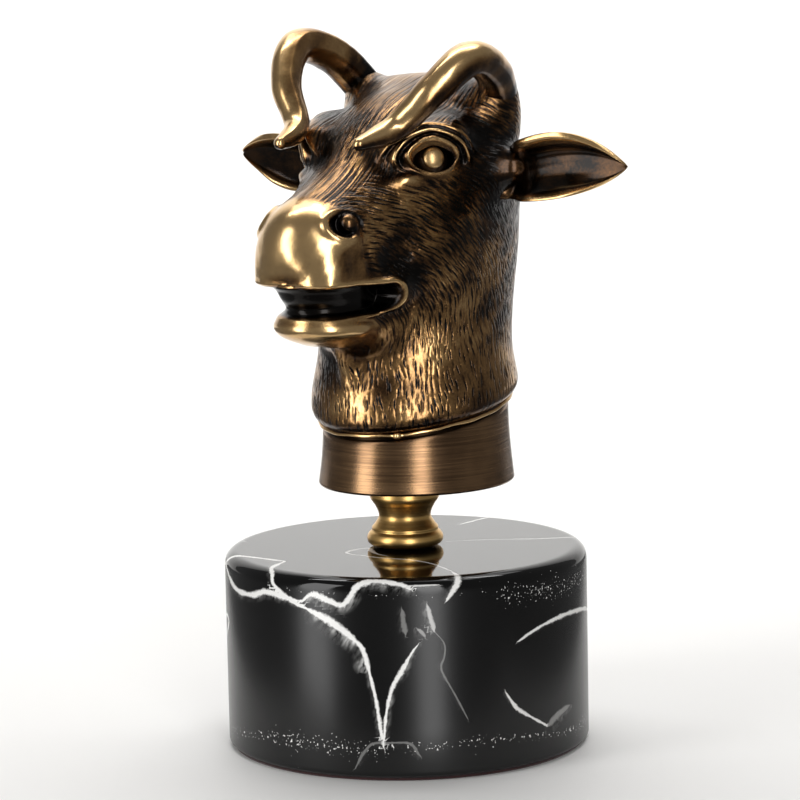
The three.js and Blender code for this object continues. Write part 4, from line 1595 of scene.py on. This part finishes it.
@dataclass
class FeltPad:
    """The thin felt disc under the base, with a slightly uneven cut edge."""

    inset: float = 1.0
    sides: int = 360

    def build(self, finish: Material) -> Piece:
        """Makes the pad.

        Args:
            finish: Its material.

        Returns:
            The piece.
        """
        radius = (PAD_HIGH.x - PAD_LOW.x) / 2 / MM
        height = (PAD_HIGH.z - PAD_LOW.z) / MM
        profile = np.array(
            [
                (radius - 2, 0),
                (radius - 0.25, 0),
                (radius - 0.06, 0.15),
                (radius - 0.02, height / 2),
                (radius - 0.06, height - 0.15),
                (radius - 0.25, height),
                (radius - 2, height),
            ]
        )
        points, faces = turned(profile * MM, self.sides, PAD_LOW.z)
        turn = np.arctan2(points[:, 0], -points[:, 1])
        uneven = 1 - 0.0012 * (1 + np.sin(23 * turn) * np.sin(61 * turn + 1) * np.sin(7 * turn))
        points[:, :2] *= uneven[:, None]
        return mesh_piece("felt_disc", points, faces, "felt_pad", "felt", finish)


# Finishes. Their gaps, runs, sizes and depths are in millimetres.


def linear(code: str) -> tuple[float, float, float, float]:
    """Turns an sRGB colour into linear values.

    Args:
        code: The colour as a hash and six hex digits.

    Returns:
        Red, green, blue and full alpha.
    """
    parts = [int(code[n : n + 2], 16) / 255 for n in (1, 3, 5)]
    red, green, blue = (c / 12.92 if c <= 0.04045 else ((c + 0.055) / 1.055) ** 2.4 for c in parts)
    return red, green, blue, 1.0


def per_metre(size: float) -> float:
    """Scale of a pattern in object coordinates whose features are the given millimetres apart."""
    return 1 / (size * MM)


def add_node(
    tree: bpy.types.NodeTree,
    kind: str,
    inputs: dict[str | int, object] | None = None,
    **settings: object,
) -> bpy.types.Node:
    """Adds a node to a material.

    Args:
        tree: The material's node tree.
        kind: The node's type, after ShaderNode.
        inputs: Values for its inputs, or sockets to link to them.
        settings: Values for its properties.

    Returns:
        The node.
    """
    node = tree.nodes.new("ShaderNode" + kind)
    for name, value in settings.items():
        setattr(node, name, value)
    for name, value in (inputs or {}).items():
        if isinstance(value, Socket):
            tree.links.new(value, node.inputs[name])
        else:
            node.inputs[name].default_value = value
    return node


def set_stops(node: bpy.types.Node, stops: Sequence[tuple[float, str]]) -> None:
    """Gives a colour ramp its stops.

    Args:
        node: The colour ramp node.
        stops: Pairs of a place from 0 to 1 and an sRGB hex colour.
    """
    elements = node.color_ramp.elements
    while len(elements) < len(stops):
        elements.new(1)
    for element, (place, code) in zip(elements, stops):
        element.position = place
        element.color = linear(code)


def new_material(name: str) -> tuple[Material, AddNode]:
    """Starts an empty material.

    Args:
        name: Its name.

    Returns:
        The material, and add_node for its own tree.
    """
    material = bpy.data.materials.new(name)
    material.use_nodes = True
    material.node_tree.nodes.clear()
    return material, partial(add_node, material.node_tree)


@dataclass(frozen=True)
class PatinatedBrass:
    """Cast brass, chemically darkened and then rubbed back.

    To the eye it is brown-black in each cut and, with painted shade, in each hollow, brown-gold over the
    coat, and bright soft gold where it is polished and where highlights are painted.
    """

    name: str = "patinated_brass_cast_and_rubbed"
    black: str = "#0e0a07"
    brown: str = "#4a321c"
    worn_and_lit: str = "#a37c4e"
    bright: str = "#e3bd85"
    rough_dark: float = 0.26
    rough_bright: float = 0.23
    lacquer: float = 0.28
    rough_lacquer: float = 0.14
    pitting: float = 0.3  # how deep the casting's pits are
    mottle: float = 5.0  # size of the patina's clouds
    cloud_weight: float = 0.5
    grain: float = 0.55  # size of the casting's fine pits
    grain_weight: float = 0.36
    face_gap: float = 0.6  # real hair lines are finer, but wouldn't show
    face_run: float = 5.4
    neck_gap: float = 1.0
    neck_run: float = 5.6
    hair_weight: float = 0.55
    hair_relief: float = 2.0
    streak_weight: float = 1.1
    neck_streaks: float = 0.2  # how strong the neck's streaks are beside the face's
    streak_scale: float = 1.6
    face_line: float = 0.42  # how wide a hair line is, as a share of its gap
    neck_line: float = 0.27
    cut_weight: float = 0.28
    shade_weight: float = 1.0
    relief: float = 0.7
    relief_depth: float = 0.06

    def material(self) -> Material:
        """Makes the material.

        Returns:
            The material.
        """
        material, add = new_material(self.name)
        place = add("TexCoord").outputs["Object"]
        cut, polish_and_light, shade, coat, sideways = (
            add("Attribute", attribute_name=mark).outputs["Fac"]
            for mark in ("cut", "polish_and_light", "shade", "coat", "sideways")
        )
        hair = self.hair(add, sideways)
        clouds = add(
            "TexNoise",
            {"Vector": place, "Scale": per_metre(self.mottle), "Detail": 5.0, "Roughness": 0.6},
        ).outputs["Fac"]
        fine = add(
            "TexNoise",
            {"Vector": place, "Scale": per_metre(self.grain), "Detail": 3.0, "Roughness": 0.65},
        ).outputs["Fac"]
        level = polish_and_light
        for pattern, weight in ((clouds, self.cloud_weight), (fine, self.grain_weight)):
            centred = add("Math", {0: pattern, 1: -0.5}, operation="ADD").outputs[0]
            level = add("Math", {0: centred, 1: weight, 2: level}, operation="MULTIPLY_ADD").outputs[0]
        strand = add("Math", {0: hair, 1: coat}, operation="MULTIPLY").outputs[0]
        darker = ((strand, -self.hair_weight), (cut, -self.cut_weight), (shade, -self.shade_weight))
        for pattern, weight in darker:
            level = add("Math", {0: pattern, 1: weight, 2: level}, operation="MULTIPLY_ADD").outputs[0]
        colour = add("ValToRGB", {"Fac": level})
        set_stops(colour, ((0.0, self.black), (0.25, self.brown), (0.55, self.worn_and_lit), (0.95, self.bright)))
        rough = add(
            "MapRange",
            {
                "Value": level,
                "From Min": 0.1,
                "From Max": 0.9,
                "To Min": self.rough_dark,
                "To Max": self.rough_bright,
            },
        ).outputs["Result"]
        pits = add("Math", {0: fine, 1: self.pitting}, operation="MULTIPLY").outputs[0]
        relief = add("Math", {0: strand, 1: -self.hair_relief, 2: pits}, operation="MULTIPLY_ADD").outputs[0]
        bump = add(
            "Bump", {"Height": relief, "Strength": self.relief, "Distance": self.relief_depth * MM}
        ).outputs["Normal"]
        shader = add(
            "BsdfPrincipled",
            {
                "Base Color": colour.outputs["Color"],
                "Metallic": 1.0,
                "Roughness": rough,
                "Normal": bump,
                "Coat Weight": self.lacquer,
                "Coat Roughness": self.rough_lacquer,
                "Coat Normal": bump,
            },
        )
        add("OutputMaterial", {"Surface": shader.outputs[0]})
        return material

    def hair(self, add: AddNode, sideways: Socket) -> Socket:
        """Adds the finest hair lines, which run along the chased rows.

        Args:
            add: Adds a node to the material.
            sideways: The share of the face's sides.

        Returns:
            A pattern from 0 to 1.
        """
        lie = add("Attribute", attribute_name="lie").outputs["Vector"]
        fall = add("Attribute", attribute_name="fall").outputs["Vector"]
        lie = add("SeparateXYZ", {"Vector": lie}).outputs
        fall = add("SeparateXYZ", {"Vector": fall}).outputs
        face = (self.face_gap, self.face_run, self.face_line, self.streak_weight)
        neck_streaks = self.neck_streaks * self.streak_weight
        neck = (self.neck_gap, self.neck_run, self.neck_line, neck_streaks)
        patterns = []
        for across, along, (gap, run, wide, streak) in (
            (lie["X"], lie["Y"], face),
            (lie["Z"], lie["Y"], face),
            (fall["X"], fall["Y"], neck),
        ):
            rows = add("Math", {0: across, 1: 1 / gap}, operation="MULTIPLY").outputs[0]
            runs = add("Math", {0: along, 1: 1 / run}, operation="MULTIPLY").outputs[0]
            flat = add("CombineXYZ", {"X": rows, "Y": runs}).outputs["Vector"]
            spots = add(
                "TexVoronoi", {"Vector": flat, "Scale": 1.0}, voronoi_dimensions="2D"
            ).outputs["Distance"]
            lines = add(
                "MapRange",
                {"Value": spots, "From Min": 0.1, "From Max": wide, "To Min": 1.0, "To Max": 0.0},
                interpolation_type="SMOOTHSTEP",
            ).outputs["Result"]
            streaks = add(
                "TexNoise",
                {"Vector": flat, "Scale": self.streak_scale, "Detail": 2.0, "Roughness": 0.6},
                noise_dimensions="2D",
            ).outputs["Fac"]
            centred = add("Math", {0: streaks, 1: -0.5}, operation="ADD").outputs[0]
            patterns.append(
                add("Math", {0: centred, 1: streak, 2: lines}, operation="MULTIPLY_ADD").outputs[0]
            )
        on_face = add("Mix", {0: sideways, 2: patterns[1], 3: patterns[0]}).outputs[0]
        return add("Mix", {0: fall["Z"], 2: patterns[2], 3: on_face}).outputs[0]


@dataclass(frozen=True)
class LinedMetal:
    """A bare metal with fine level lines from a tool that ran round it.

    The lines draw each reflection out sideways, so that the metal looks soft and even.
    """

    name: str
    stops: tuple[tuple[float, str], ...]  # colours from the bottom of a line to its ridge
    line_gap: float  # real lines are finer, but wouldn't show
    line_run: float
    detail: float
    roughness: tuple[float, float]
    relief: float
    relief_depth: float

    def level(self, add: AddNode, place: Socket, lines: Socket) -> Socket:
        """Gives the place on the colour stops, which is the lines themselves unless a metal adds more."""
        return lines

    def material(self) -> Material:
        """Makes the material.

        Returns:
            The material.
        """
        material, add = new_material(self.name)
        place = add("TexCoord").outputs["Object"]
        across = per_metre(self.line_run)
        stretched = add(
            "Mapping", {"Vector": place, "Scale": (across, across, per_metre(self.line_gap))}
        ).outputs["Vector"]
        lines = add(
            "TexNoise", {"Vector": stretched, "Scale": 1.0, "Detail": self.detail, "Roughness": 0.7}
        ).outputs["Fac"]
        colour = add("ValToRGB", {"Fac": self.level(add, place, lines)})
        set_stops(colour, self.stops)
        smooth, rough = self.roughness
        rough = add(
            "MapRange",
            {"Value": lines, "From Min": 0.3, "From Max": 0.7, "To Min": smooth, "To Max": rough},
        ).outputs["Result"]
        bump = add(
            "Bump", {"Height": lines, "Strength": self.relief, "Distance": self.relief_depth * MM}
        ).outputs["Normal"]
        shader = add(
            "BsdfPrincipled",
            {"Base Color": colour.outputs["Color"], "Metallic": 1.0, "Roughness": rough, "Normal": bump},
        )
        add("OutputMaterial", {"Surface": shader.outputs[0]})
        return material


@dataclass(frozen=True)
class BrushedBronze(LinedMetal):
    """Bronze brushed round and then darkened: fine level lines in soft brown reflections."""

    name: str = "bronze_brushed_and_darkened"
    stops: tuple[tuple[float, str], ...] = ((0.3, "#21180f"), (0.85, "#785d44"), (1.0, "#957555"))
    line_gap: float = 0.35
    line_run: float = 26.0
    detail: float = 4.0
    roughness: tuple[float, float] = (0.19, 0.28)
    relief: float = 0.35
    relief_depth: float = 0.04
    line_weight: float = 0.8
    clouds: float = 18.0  # size of the patina's clouds
    shade_weight: float = 1.2

    def level(self, add: AddNode, place: Socket, lines: Socket) -> Socket:
        """Adds the patina's clouds to the lines and darkens the shaded places.

        Args:
            add: Adds a node to the material.
            place: The place on the object.
            lines: The pattern of the tool lines.

        Returns:
            The place on the colour stops, from 0 to 1.
        """
        shade = add("Attribute", attribute_name="shade").outputs["Fac"]
        clouds = add(
            "TexNoise", {"Vector": place, "Scale": per_metre(self.clouds), "Detail": 3.0}
        ).outputs["Fac"]
        mixed = add("Math", {0: lines, 1: self.line_weight, 2: clouds}, operation="MULTIPLY_ADD").outputs[0]
        return add(
            "Math", {0: shade, 1: -self.shade_weight, 2: mixed}, operation="MULTIPLY_ADD", use_clamp=True
        ).outputs[0]


@dataclass(frozen=True)
class TurnedBrass(LinedMetal):
    """Lacquered brass from the lathe: clean gold with fine tool rings."""

    name: str = "brass_turned_and_lacquered"
    stops: tuple[tuple[float, str], ...] = ((0.3, "#dcab62"), (0.6, "#edc47c"))
    line_gap: float = 0.3
    line_run: float = 40.0
    detail: float = 3.0
    roughness: tuple[float, float] = (0.27, 0.38)
    relief: float = 0.4
    relief_depth: float = 0.05


@dataclass(frozen=True)
class VeinedResin:
    """Black casting resin in imitation of marble, with white veins stirred in and a high polish.

    To the eye it is a black mirror with thin painterly white lines, feathered on one side, and fine specks.
    """

    name: str = "resin_cast_and_polished"
    black: str = "#040404"
    cloud: str = "#060606"
    white: str = "#eeedea"
    rough_top: float = 0.06
    rough_side: float = 0.27
    ior: float = 1.43  # cast resins have about 1.5, and this one mirrors a little less
    haze: float = 14.0  # size of the cloudy places
    fray: float = 0.7  # size of the veins' ragged edge
    speck: float = 0.5  # real specks are dust, too fine to show
    speck_rare: float = 0.84  # how high the noise has to rise where specks are rare
    speck_thick: float = 0.6
    feather: float = 0.8  # gap between the streaks of a feathered edge
    feather_run: float = 6.0  # how many gaps long a streak is
    feather_tilt: float = math.radians(35)
    patch: float = 4.0  # size of the places where the feathers are thick or thin

    def material(self) -> Material:
        """Makes the material.

        Returns:
            The material.
        """
        material, add = new_material(self.name)
        place = add("TexCoord").outputs["Object"]
        white = add(
            "Math", {0: self.lines(add, place), 1: self.specks(add, place)}, operation="MAXIMUM"
        ).outputs[0]
        wander = add(
            "TexNoise", {"Vector": place, "Scale": per_metre(self.haze), "Detail": 3.0}
        ).outputs["Fac"]
        haze = add("ValToRGB", {"Fac": wander})
        set_stops(haze, ((0.45, self.black), (0.8, self.cloud)))
        colour = add(
            "Mix",
            {0: white, 6: haze.outputs["Color"], 7: linear(self.white)},
            data_type="RGBA",
        ).outputs[2]
        side = add("Attribute", attribute_name="side").outputs["Fac"]
        rough = add(
            "MapRange", {"Value": side, "To Min": self.rough_top, "To Max": self.rough_side}
        ).outputs["Result"]
        shader = add("BsdfPrincipled", {"Base Color": colour, "Roughness": rough, "IOR": self.ior})
        add("OutputMaterial", {"Surface": shader.outputs[0]})
        return material

    def lines(self, add: AddNode, place: Socket) -> Socket:
        """Adds the veins, sharp on one side and feathered on the other.

        Args:
            add: Adds a node to the material.
            place: The place on the object.

        Returns:
            The whiteness from 0 to 1.
        """
        offset, apart, width, wisp, strength = (
            add("Attribute", attribute_name=mark).outputs["Fac"]
            for mark in ("offset", "apart", "width", "wisp", "strength")
        )
        near = add(
            "MapRange",
            {"Value": apart, "From Min": 0.35, "From Max": 1.0, "To Min": 1.0, "To Max": 0.0},
        ).outputs["Result"]
        fray = add(
            "TexNoise",
            {"Vector": place, "Scale": per_metre(self.fray), "Detail": 4.0, "Roughness": 0.7},
        ).outputs["Fac"]
        gap = add("Math", {0: offset}, operation="ABSOLUTE").outputs[0]
        shift = add("Math", {0: fray, 1: -0.5}, operation="ADD").outputs[0]
        ragged = add("Math", {0: shift, 1: width}, operation="MULTIPLY").outputs[0]
        edge = add("Math", {0: ragged, 1: 1.6, 2: gap}, operation="MULTIPLY_ADD").outputs[0]
        inner = add("Math", {0: width, 1: 0.55}, operation="MULTIPLY").outputs[0]
        outer = add("Math", {0: width, 1: 1.15}, operation="MULTIPLY").outputs[0]
        core = add(
            "MapRange",
            {"Value": edge, "From Min": outer, "From Max": inner, "To Min": 0.0, "To Max": 1.0},
        ).outputs["Result"]
        gap_size, run_size = self.feather * MM, self.feather * self.feather_run * MM
        tilted = add(
            "Mapping",
            {
                "Vector": place,
                "Rotation": (0.0, self.feather_tilt, 0.0),
                "Scale": (gap_size, gap_size, run_size),
            },
            vector_type="TEXTURE",
        ).outputs["Vector"]
        streaks = add(
            "TexNoise", {"Vector": tilted, "Scale": 1.0, "Detail": 2.0, "Roughness": 0.6}
        ).outputs["Fac"]
        streaks = add("MapRange", {"Value": streaks, "From Min": 0.36, "From Max": 0.72}).outputs["Result"]
        reach = add("Math", {0: wisp, 1: 3.4, 2: 0.1}, operation="MULTIPLY_ADD").outputs[0]
        fade = add(
            "MapRange",
            {"Value": apart, "From Min": 0.0, "From Max": reach, "To Min": 1.0, "To Max": 0.0},
        ).outputs["Result"]
        fade = add("Math", {0: fade, 1: 1.6}, operation="POWER").outputs[0]
        one_side = add("Math", {0: offset, 1: 0.0}, operation="GREATER_THAN").outputs[0]
        patches = add(
            "TexNoise", {"Vector": place, "Scale": per_metre(self.patch), "Detail": 2.0}
        ).outputs["Fac"]
        patches = add(
            "MapRange", {"Value": patches, "From Min": 0.4, "From Max": 0.6, "To Min": 0.15}
        ).outputs["Result"]
        soft = fade
        for share in (one_side, streaks, wisp, patches):
            soft = add("Math", {0: soft, 1: share}, operation="MULTIPLY").outputs[0]
        core = add("Math", {0: core, 1: near}, operation="MULTIPLY").outputs[0]
        both = add("Math", {0: core, 1: soft}, operation="MAXIMUM").outputs[0]
        return add("Math", {0: both, 1: strength}, operation="MULTIPLY").outputs[0]

    def specks(self, add: AddNode, place: Socket) -> Socket:
        """Adds the fine white specks.

        Args:
            add: Adds a node to the material.
            place: The place on the object.

        Returns:
            The whiteness from 0 to 1.
        """
        speck = add("Attribute", attribute_name="speck").outputs["Fac"]
        dots = add(
            "TexNoise",
            {"Vector": place, "Scale": per_metre(self.speck), "Detail": 1.0, "Roughness": 0.5},
        ).outputs["Fac"]
        limit = add(
            "MapRange", {"Value": speck, "To Min": self.speck_rare, "To Max": self.speck_thick}
        ).outputs["Result"]
        over = add("Math", {0: dots, 1: limit}, operation="SUBTRACT").outputs[0]
        return add(
            "MapRange", {"Value": over, "From Min": 0.0, "From Max": 0.05, "To Max": 0.9}
        ).outputs["Result"]


@dataclass(frozen=True)
class PressedFelt:
    """Thin pressed wool felt, dark red-black, with a soft fibre nap."""

    name: str = "wool_felt_pressed"
    dark: str = "#1a0c0d"
    light: str = "#431a1c"
    fibre: float = 0.35  # real fibres are thinner, but wouldn't show
    nap_relief: float = 0.7
    nap_depth: float = 0.1

    def material(self) -> Material:
        """Makes the material.

        Returns:
            The material.
        """
        material, add = new_material(self.name)
        place = add("TexCoord").outputs["Object"]
        nap = add(
            "TexNoise",
            {"Vector": place, "Scale": per_metre(self.fibre), "Detail": 5.0, "Roughness": 0.75},
        ).outputs["Fac"]
        colour = add("ValToRGB", {"Fac": nap})
        set_stops(colour, ((0.35, self.dark), (0.7, self.light)))
        bump = add(
            "Bump", {"Height": nap, "Strength": self.nap_relief, "Distance": self.nap_depth * MM}
        ).outputs["Normal"]
        shader = add(
            "BsdfPrincipled",
            {"Base Color": colour.outputs["Color"], "Roughness": 0.95, "Sheen Weight": 0.4, "Normal": bump},
        )
        add("OutputMaterial", {"Surface": shader.outputs[0]})
        return material


# The studio.


@dataclass(frozen=True)
class Lamp:
    """One soft rectangular light that faces the object."""

    name: str
    turn: float  # degrees round from the camera's line, to the camera's right
    lift: float  # degrees above the floor
    away: float
    width: float
    height: float
    power: float


def add_light(name: str, size: tuple[float, float], power: float, place: Vector, way: Vector) -> None:
    """Adds a soft rectangular light that the camera itself doesn't see.

    Args:
        name: Its name.
        size: Its width and height.
        power: Its power in watts.
        place: Where it stands.
        way: The direction to it from what it lights.
    """
    data = bpy.data.lights.new(name, "AREA")
    data.shape = "RECTANGLE"
    data.size, data.size_y = size
    data.energy = power
    light = bpy.data.objects.new(name, data)
    light.location = place
    light.rotation_euler = way.to_track_quat("Z", "Y").to_euler()
    light.visible_camera = False
    bpy.context.scene.collection.objects.link(light)


@dataclass
class Studio:
    """A pale sweep of floor and wall, soft lights, and a camera at the photograph's viewing angle."""

    camera_turn: float = math.radians(37.9)
    camera_lift: float = math.radians(8.25)
    camera_away: float = 0.813
    camera_roll: float = math.radians(-1.17)
    aim_height: float = 0.082
    aim_right: float = -0.0006
    lens: float = 154.0
    sensor: float = 36.0
    floor_tone: str = "#ebeae8"
    lamps: tuple[Lamp, ...] = (
        Lamp("softbox_left", -58, 9, 0.9, 0.34, 1.15, 5.2),
        Lamp("softbox_front", 14, 10, 1.05, 0.3, 1.3, 6.6),
        Lamp("softbox_top", 170, 72, 0.95, 0.9, 0.6, 3.4),
    )
    wash_power: float = 15.0
    wash_width: float = 1.2
    wash_depth: float = 0.3
    wash_height: float = 1.1
    wash_behind: float = 0.25
    wash_slope: float = 0.55  # how far the wash points down for each metre towards the wall
    world_strength: float = 0.18
    floor_near: float = 0.078  # how far the floor runs in front of the object
    floor_half: float = 0.108
    floor_spread: float = 0.12  # how much wider each half grows for each metre of depth
    wall_away: float = 0.6
    wall_half: float = 0.95
    wall_height: float = 1.8
    bend: float = 0.5
    bend_steps: int = 16

    def towards(self, turn: float, lift: float) -> Vector:
        """Points from the object to a place.

        Args:
            turn: How far round from the camera's line the place is, in radians.
            lift: How far above the floor.

        Returns:
            The direction, of length one.
        """
        heading = self.camera_turn + turn
        flat = math.cos(lift)
        return Vector((math.sin(heading) * flat, -math.cos(heading) * flat, math.sin(lift)))

    def add_camera(self) -> None:
        """Adds the camera and makes it the scene's own."""
        right = Vector((math.cos(self.camera_turn), math.sin(self.camera_turn), 0))
        back = self.towards(0, self.camera_lift)
        up = back.cross(right)
        aim = right * self.aim_right + Vector((0, 0, self.aim_height))
        cosine, sine = math.cos(self.camera_roll), math.sin(self.camera_roll)
        rolled_right = right * cosine + up * sine
        rolled_up = up * cosine - right * sine
        data = bpy.data.cameras.new("camera")
        data.lens = self.lens
        data.sensor_width = self.sensor
        data.clip_start = 0.01
        camera = bpy.data.objects.new("camera", data)
        turn = Matrix((rolled_right, rolled_up, back)).transposed().to_4x4()
        camera.matrix_world = Matrix.Translation(aim + back * self.camera_away) @ turn
        bpy.context.scene.collection.objects.link(camera)
        bpy.context.scene.camera = camera

    def add_sweep(self) -> None:
        """Adds the floor that curves up into a wall behind the object."""
        far, bend = self.wall_away, self.bend
        curve = [(-self.floor_near, 0.0), (0.0, 0.0), (far, 0.0)]
        for n in range(1, self.bend_steps + 1):
            angle = math.pi / 2 * n / self.bend_steps
            curve.append((far + bend * math.sin(angle), bend * (1 - math.cos(angle))))
        curve.append((far + bend, self.wall_height))
        away = -self.towards(0, 0)
        across = Vector((away.y, -away.x, 0))
        points, faces = [], []
        for distance, height in curve:
            on_floor = self.floor_half + self.floor_spread * max(distance, 0)
            half = on_floor if distance <= far else self.wall_half
            for end in (-half, half):
                points.append(away * distance + across * end + Vector((0, 0, height)))
        for n in range(len(curve) - 1):
            faces.append((2 * n, 2 * n + 1, 2 * n + 3, 2 * n + 2))
        mesh = bpy.data.meshes.new("sweep")
        mesh.from_pydata(points, [], faces)
        mesh.polygons.foreach_set("use_smooth", [True] * len(faces))
        sweep = bpy.data.objects.new("sweep", mesh)
        bpy.context.scene.collection.objects.link(sweep)
        material, add = new_material("paper_matt_white")
        shader = add("BsdfPrincipled", {"Base Color": linear(self.floor_tone), "Roughness": 0.6})
        add("OutputMaterial", {"Surface": shader.outputs[0]})
        mesh.materials.append(material)

    def add_lamps(self) -> None:
        """Adds the soft lights, and the one that stands over the object and lights the wall behind it."""
        aim = Vector((0, 0, self.aim_height))
        for lamp in self.lamps:
            way = self.towards(math.radians(lamp.turn), math.radians(lamp.lift))
            add_light(lamp.name, (lamp.width, lamp.height), lamp.power, aim + way * lamp.away, way)
        away = -self.towards(0, 0)
        place = away * self.wash_behind + Vector((0, 0, self.wash_height))
        way = Vector((0, 0, self.wash_slope)) - away
        add_light("wall_wash", (self.wash_width, self.wash_depth), self.wash_power, place, way)

    def add_world(self) -> None:
        """Adds an even pale surround for soft fill."""
        world = bpy.data.worlds.new("surround")
        world.use_nodes = True
        world.node_tree.nodes.clear()
        add = partial(add_node, world.node_tree)
        sky = add("Background", {"Color": linear("#ffffff"), "Strength": self.world_strength})
        add("OutputWorld", {"Surface": sky.outputs[0]})
        bpy.context.scene.world = world

    def build(self) -> None:
        """Sets up the camera, the sweep, the lights and a plain view transform."""
        self.add_camera()
        self.add_sweep()
        self.add_lamps()
        self.add_world()
        bpy.context.scene.view_settings.view_transform = "Standard"
        bpy.context.scene.view_settings.look = "None"


def main() -> None:
    """Builds the figure piece by piece and reports each one."""
    logging.basicConfig(level=logging.INFO, format="%(message)s")
    Studio().build()
    patina = PatinatedBrass().material()
    worn_and_lit = PatinatedBrass(name="patinated_brass_worn_dull", rough_dark=0.45, rough_bright=0.36).material()
    bronze = BrushedBronze().material()
    pieces = [
        OxHead().build(patina),
        Horn(side=Side.LEFT, drop=2.8).build("horn_left", patina),
        Horn(side=Side.RIGHT, drop=0.0).build("horn_right", patina),
        Ear(side=Side.LEFT, fullness=1.0, arch=1.5).build("ear_left", patina),
        Ear(side=Side.RIGHT, fullness=0.88, arch=0.0, slim=0.35).build("ear_right", patina),
        Eye(side=Side.LEFT).build("eye_left", worn_and_lit),
        Eye(side=Side.RIGHT).build("eye_right", worn_and_lit),
        Collar().build(bronze),
        Collar().build_lip(patina),
        Stem().build(TurnedBrass().material()),
        ResinBase().build(VeinedResin().material()),
        FeltPad().build(PressedFelt().material()),
    ]
    for piece in pieces:
        log.info("%s: %d faces", piece.name, len(piece.data.polygons))


if __name__ == "__main__":
    main()
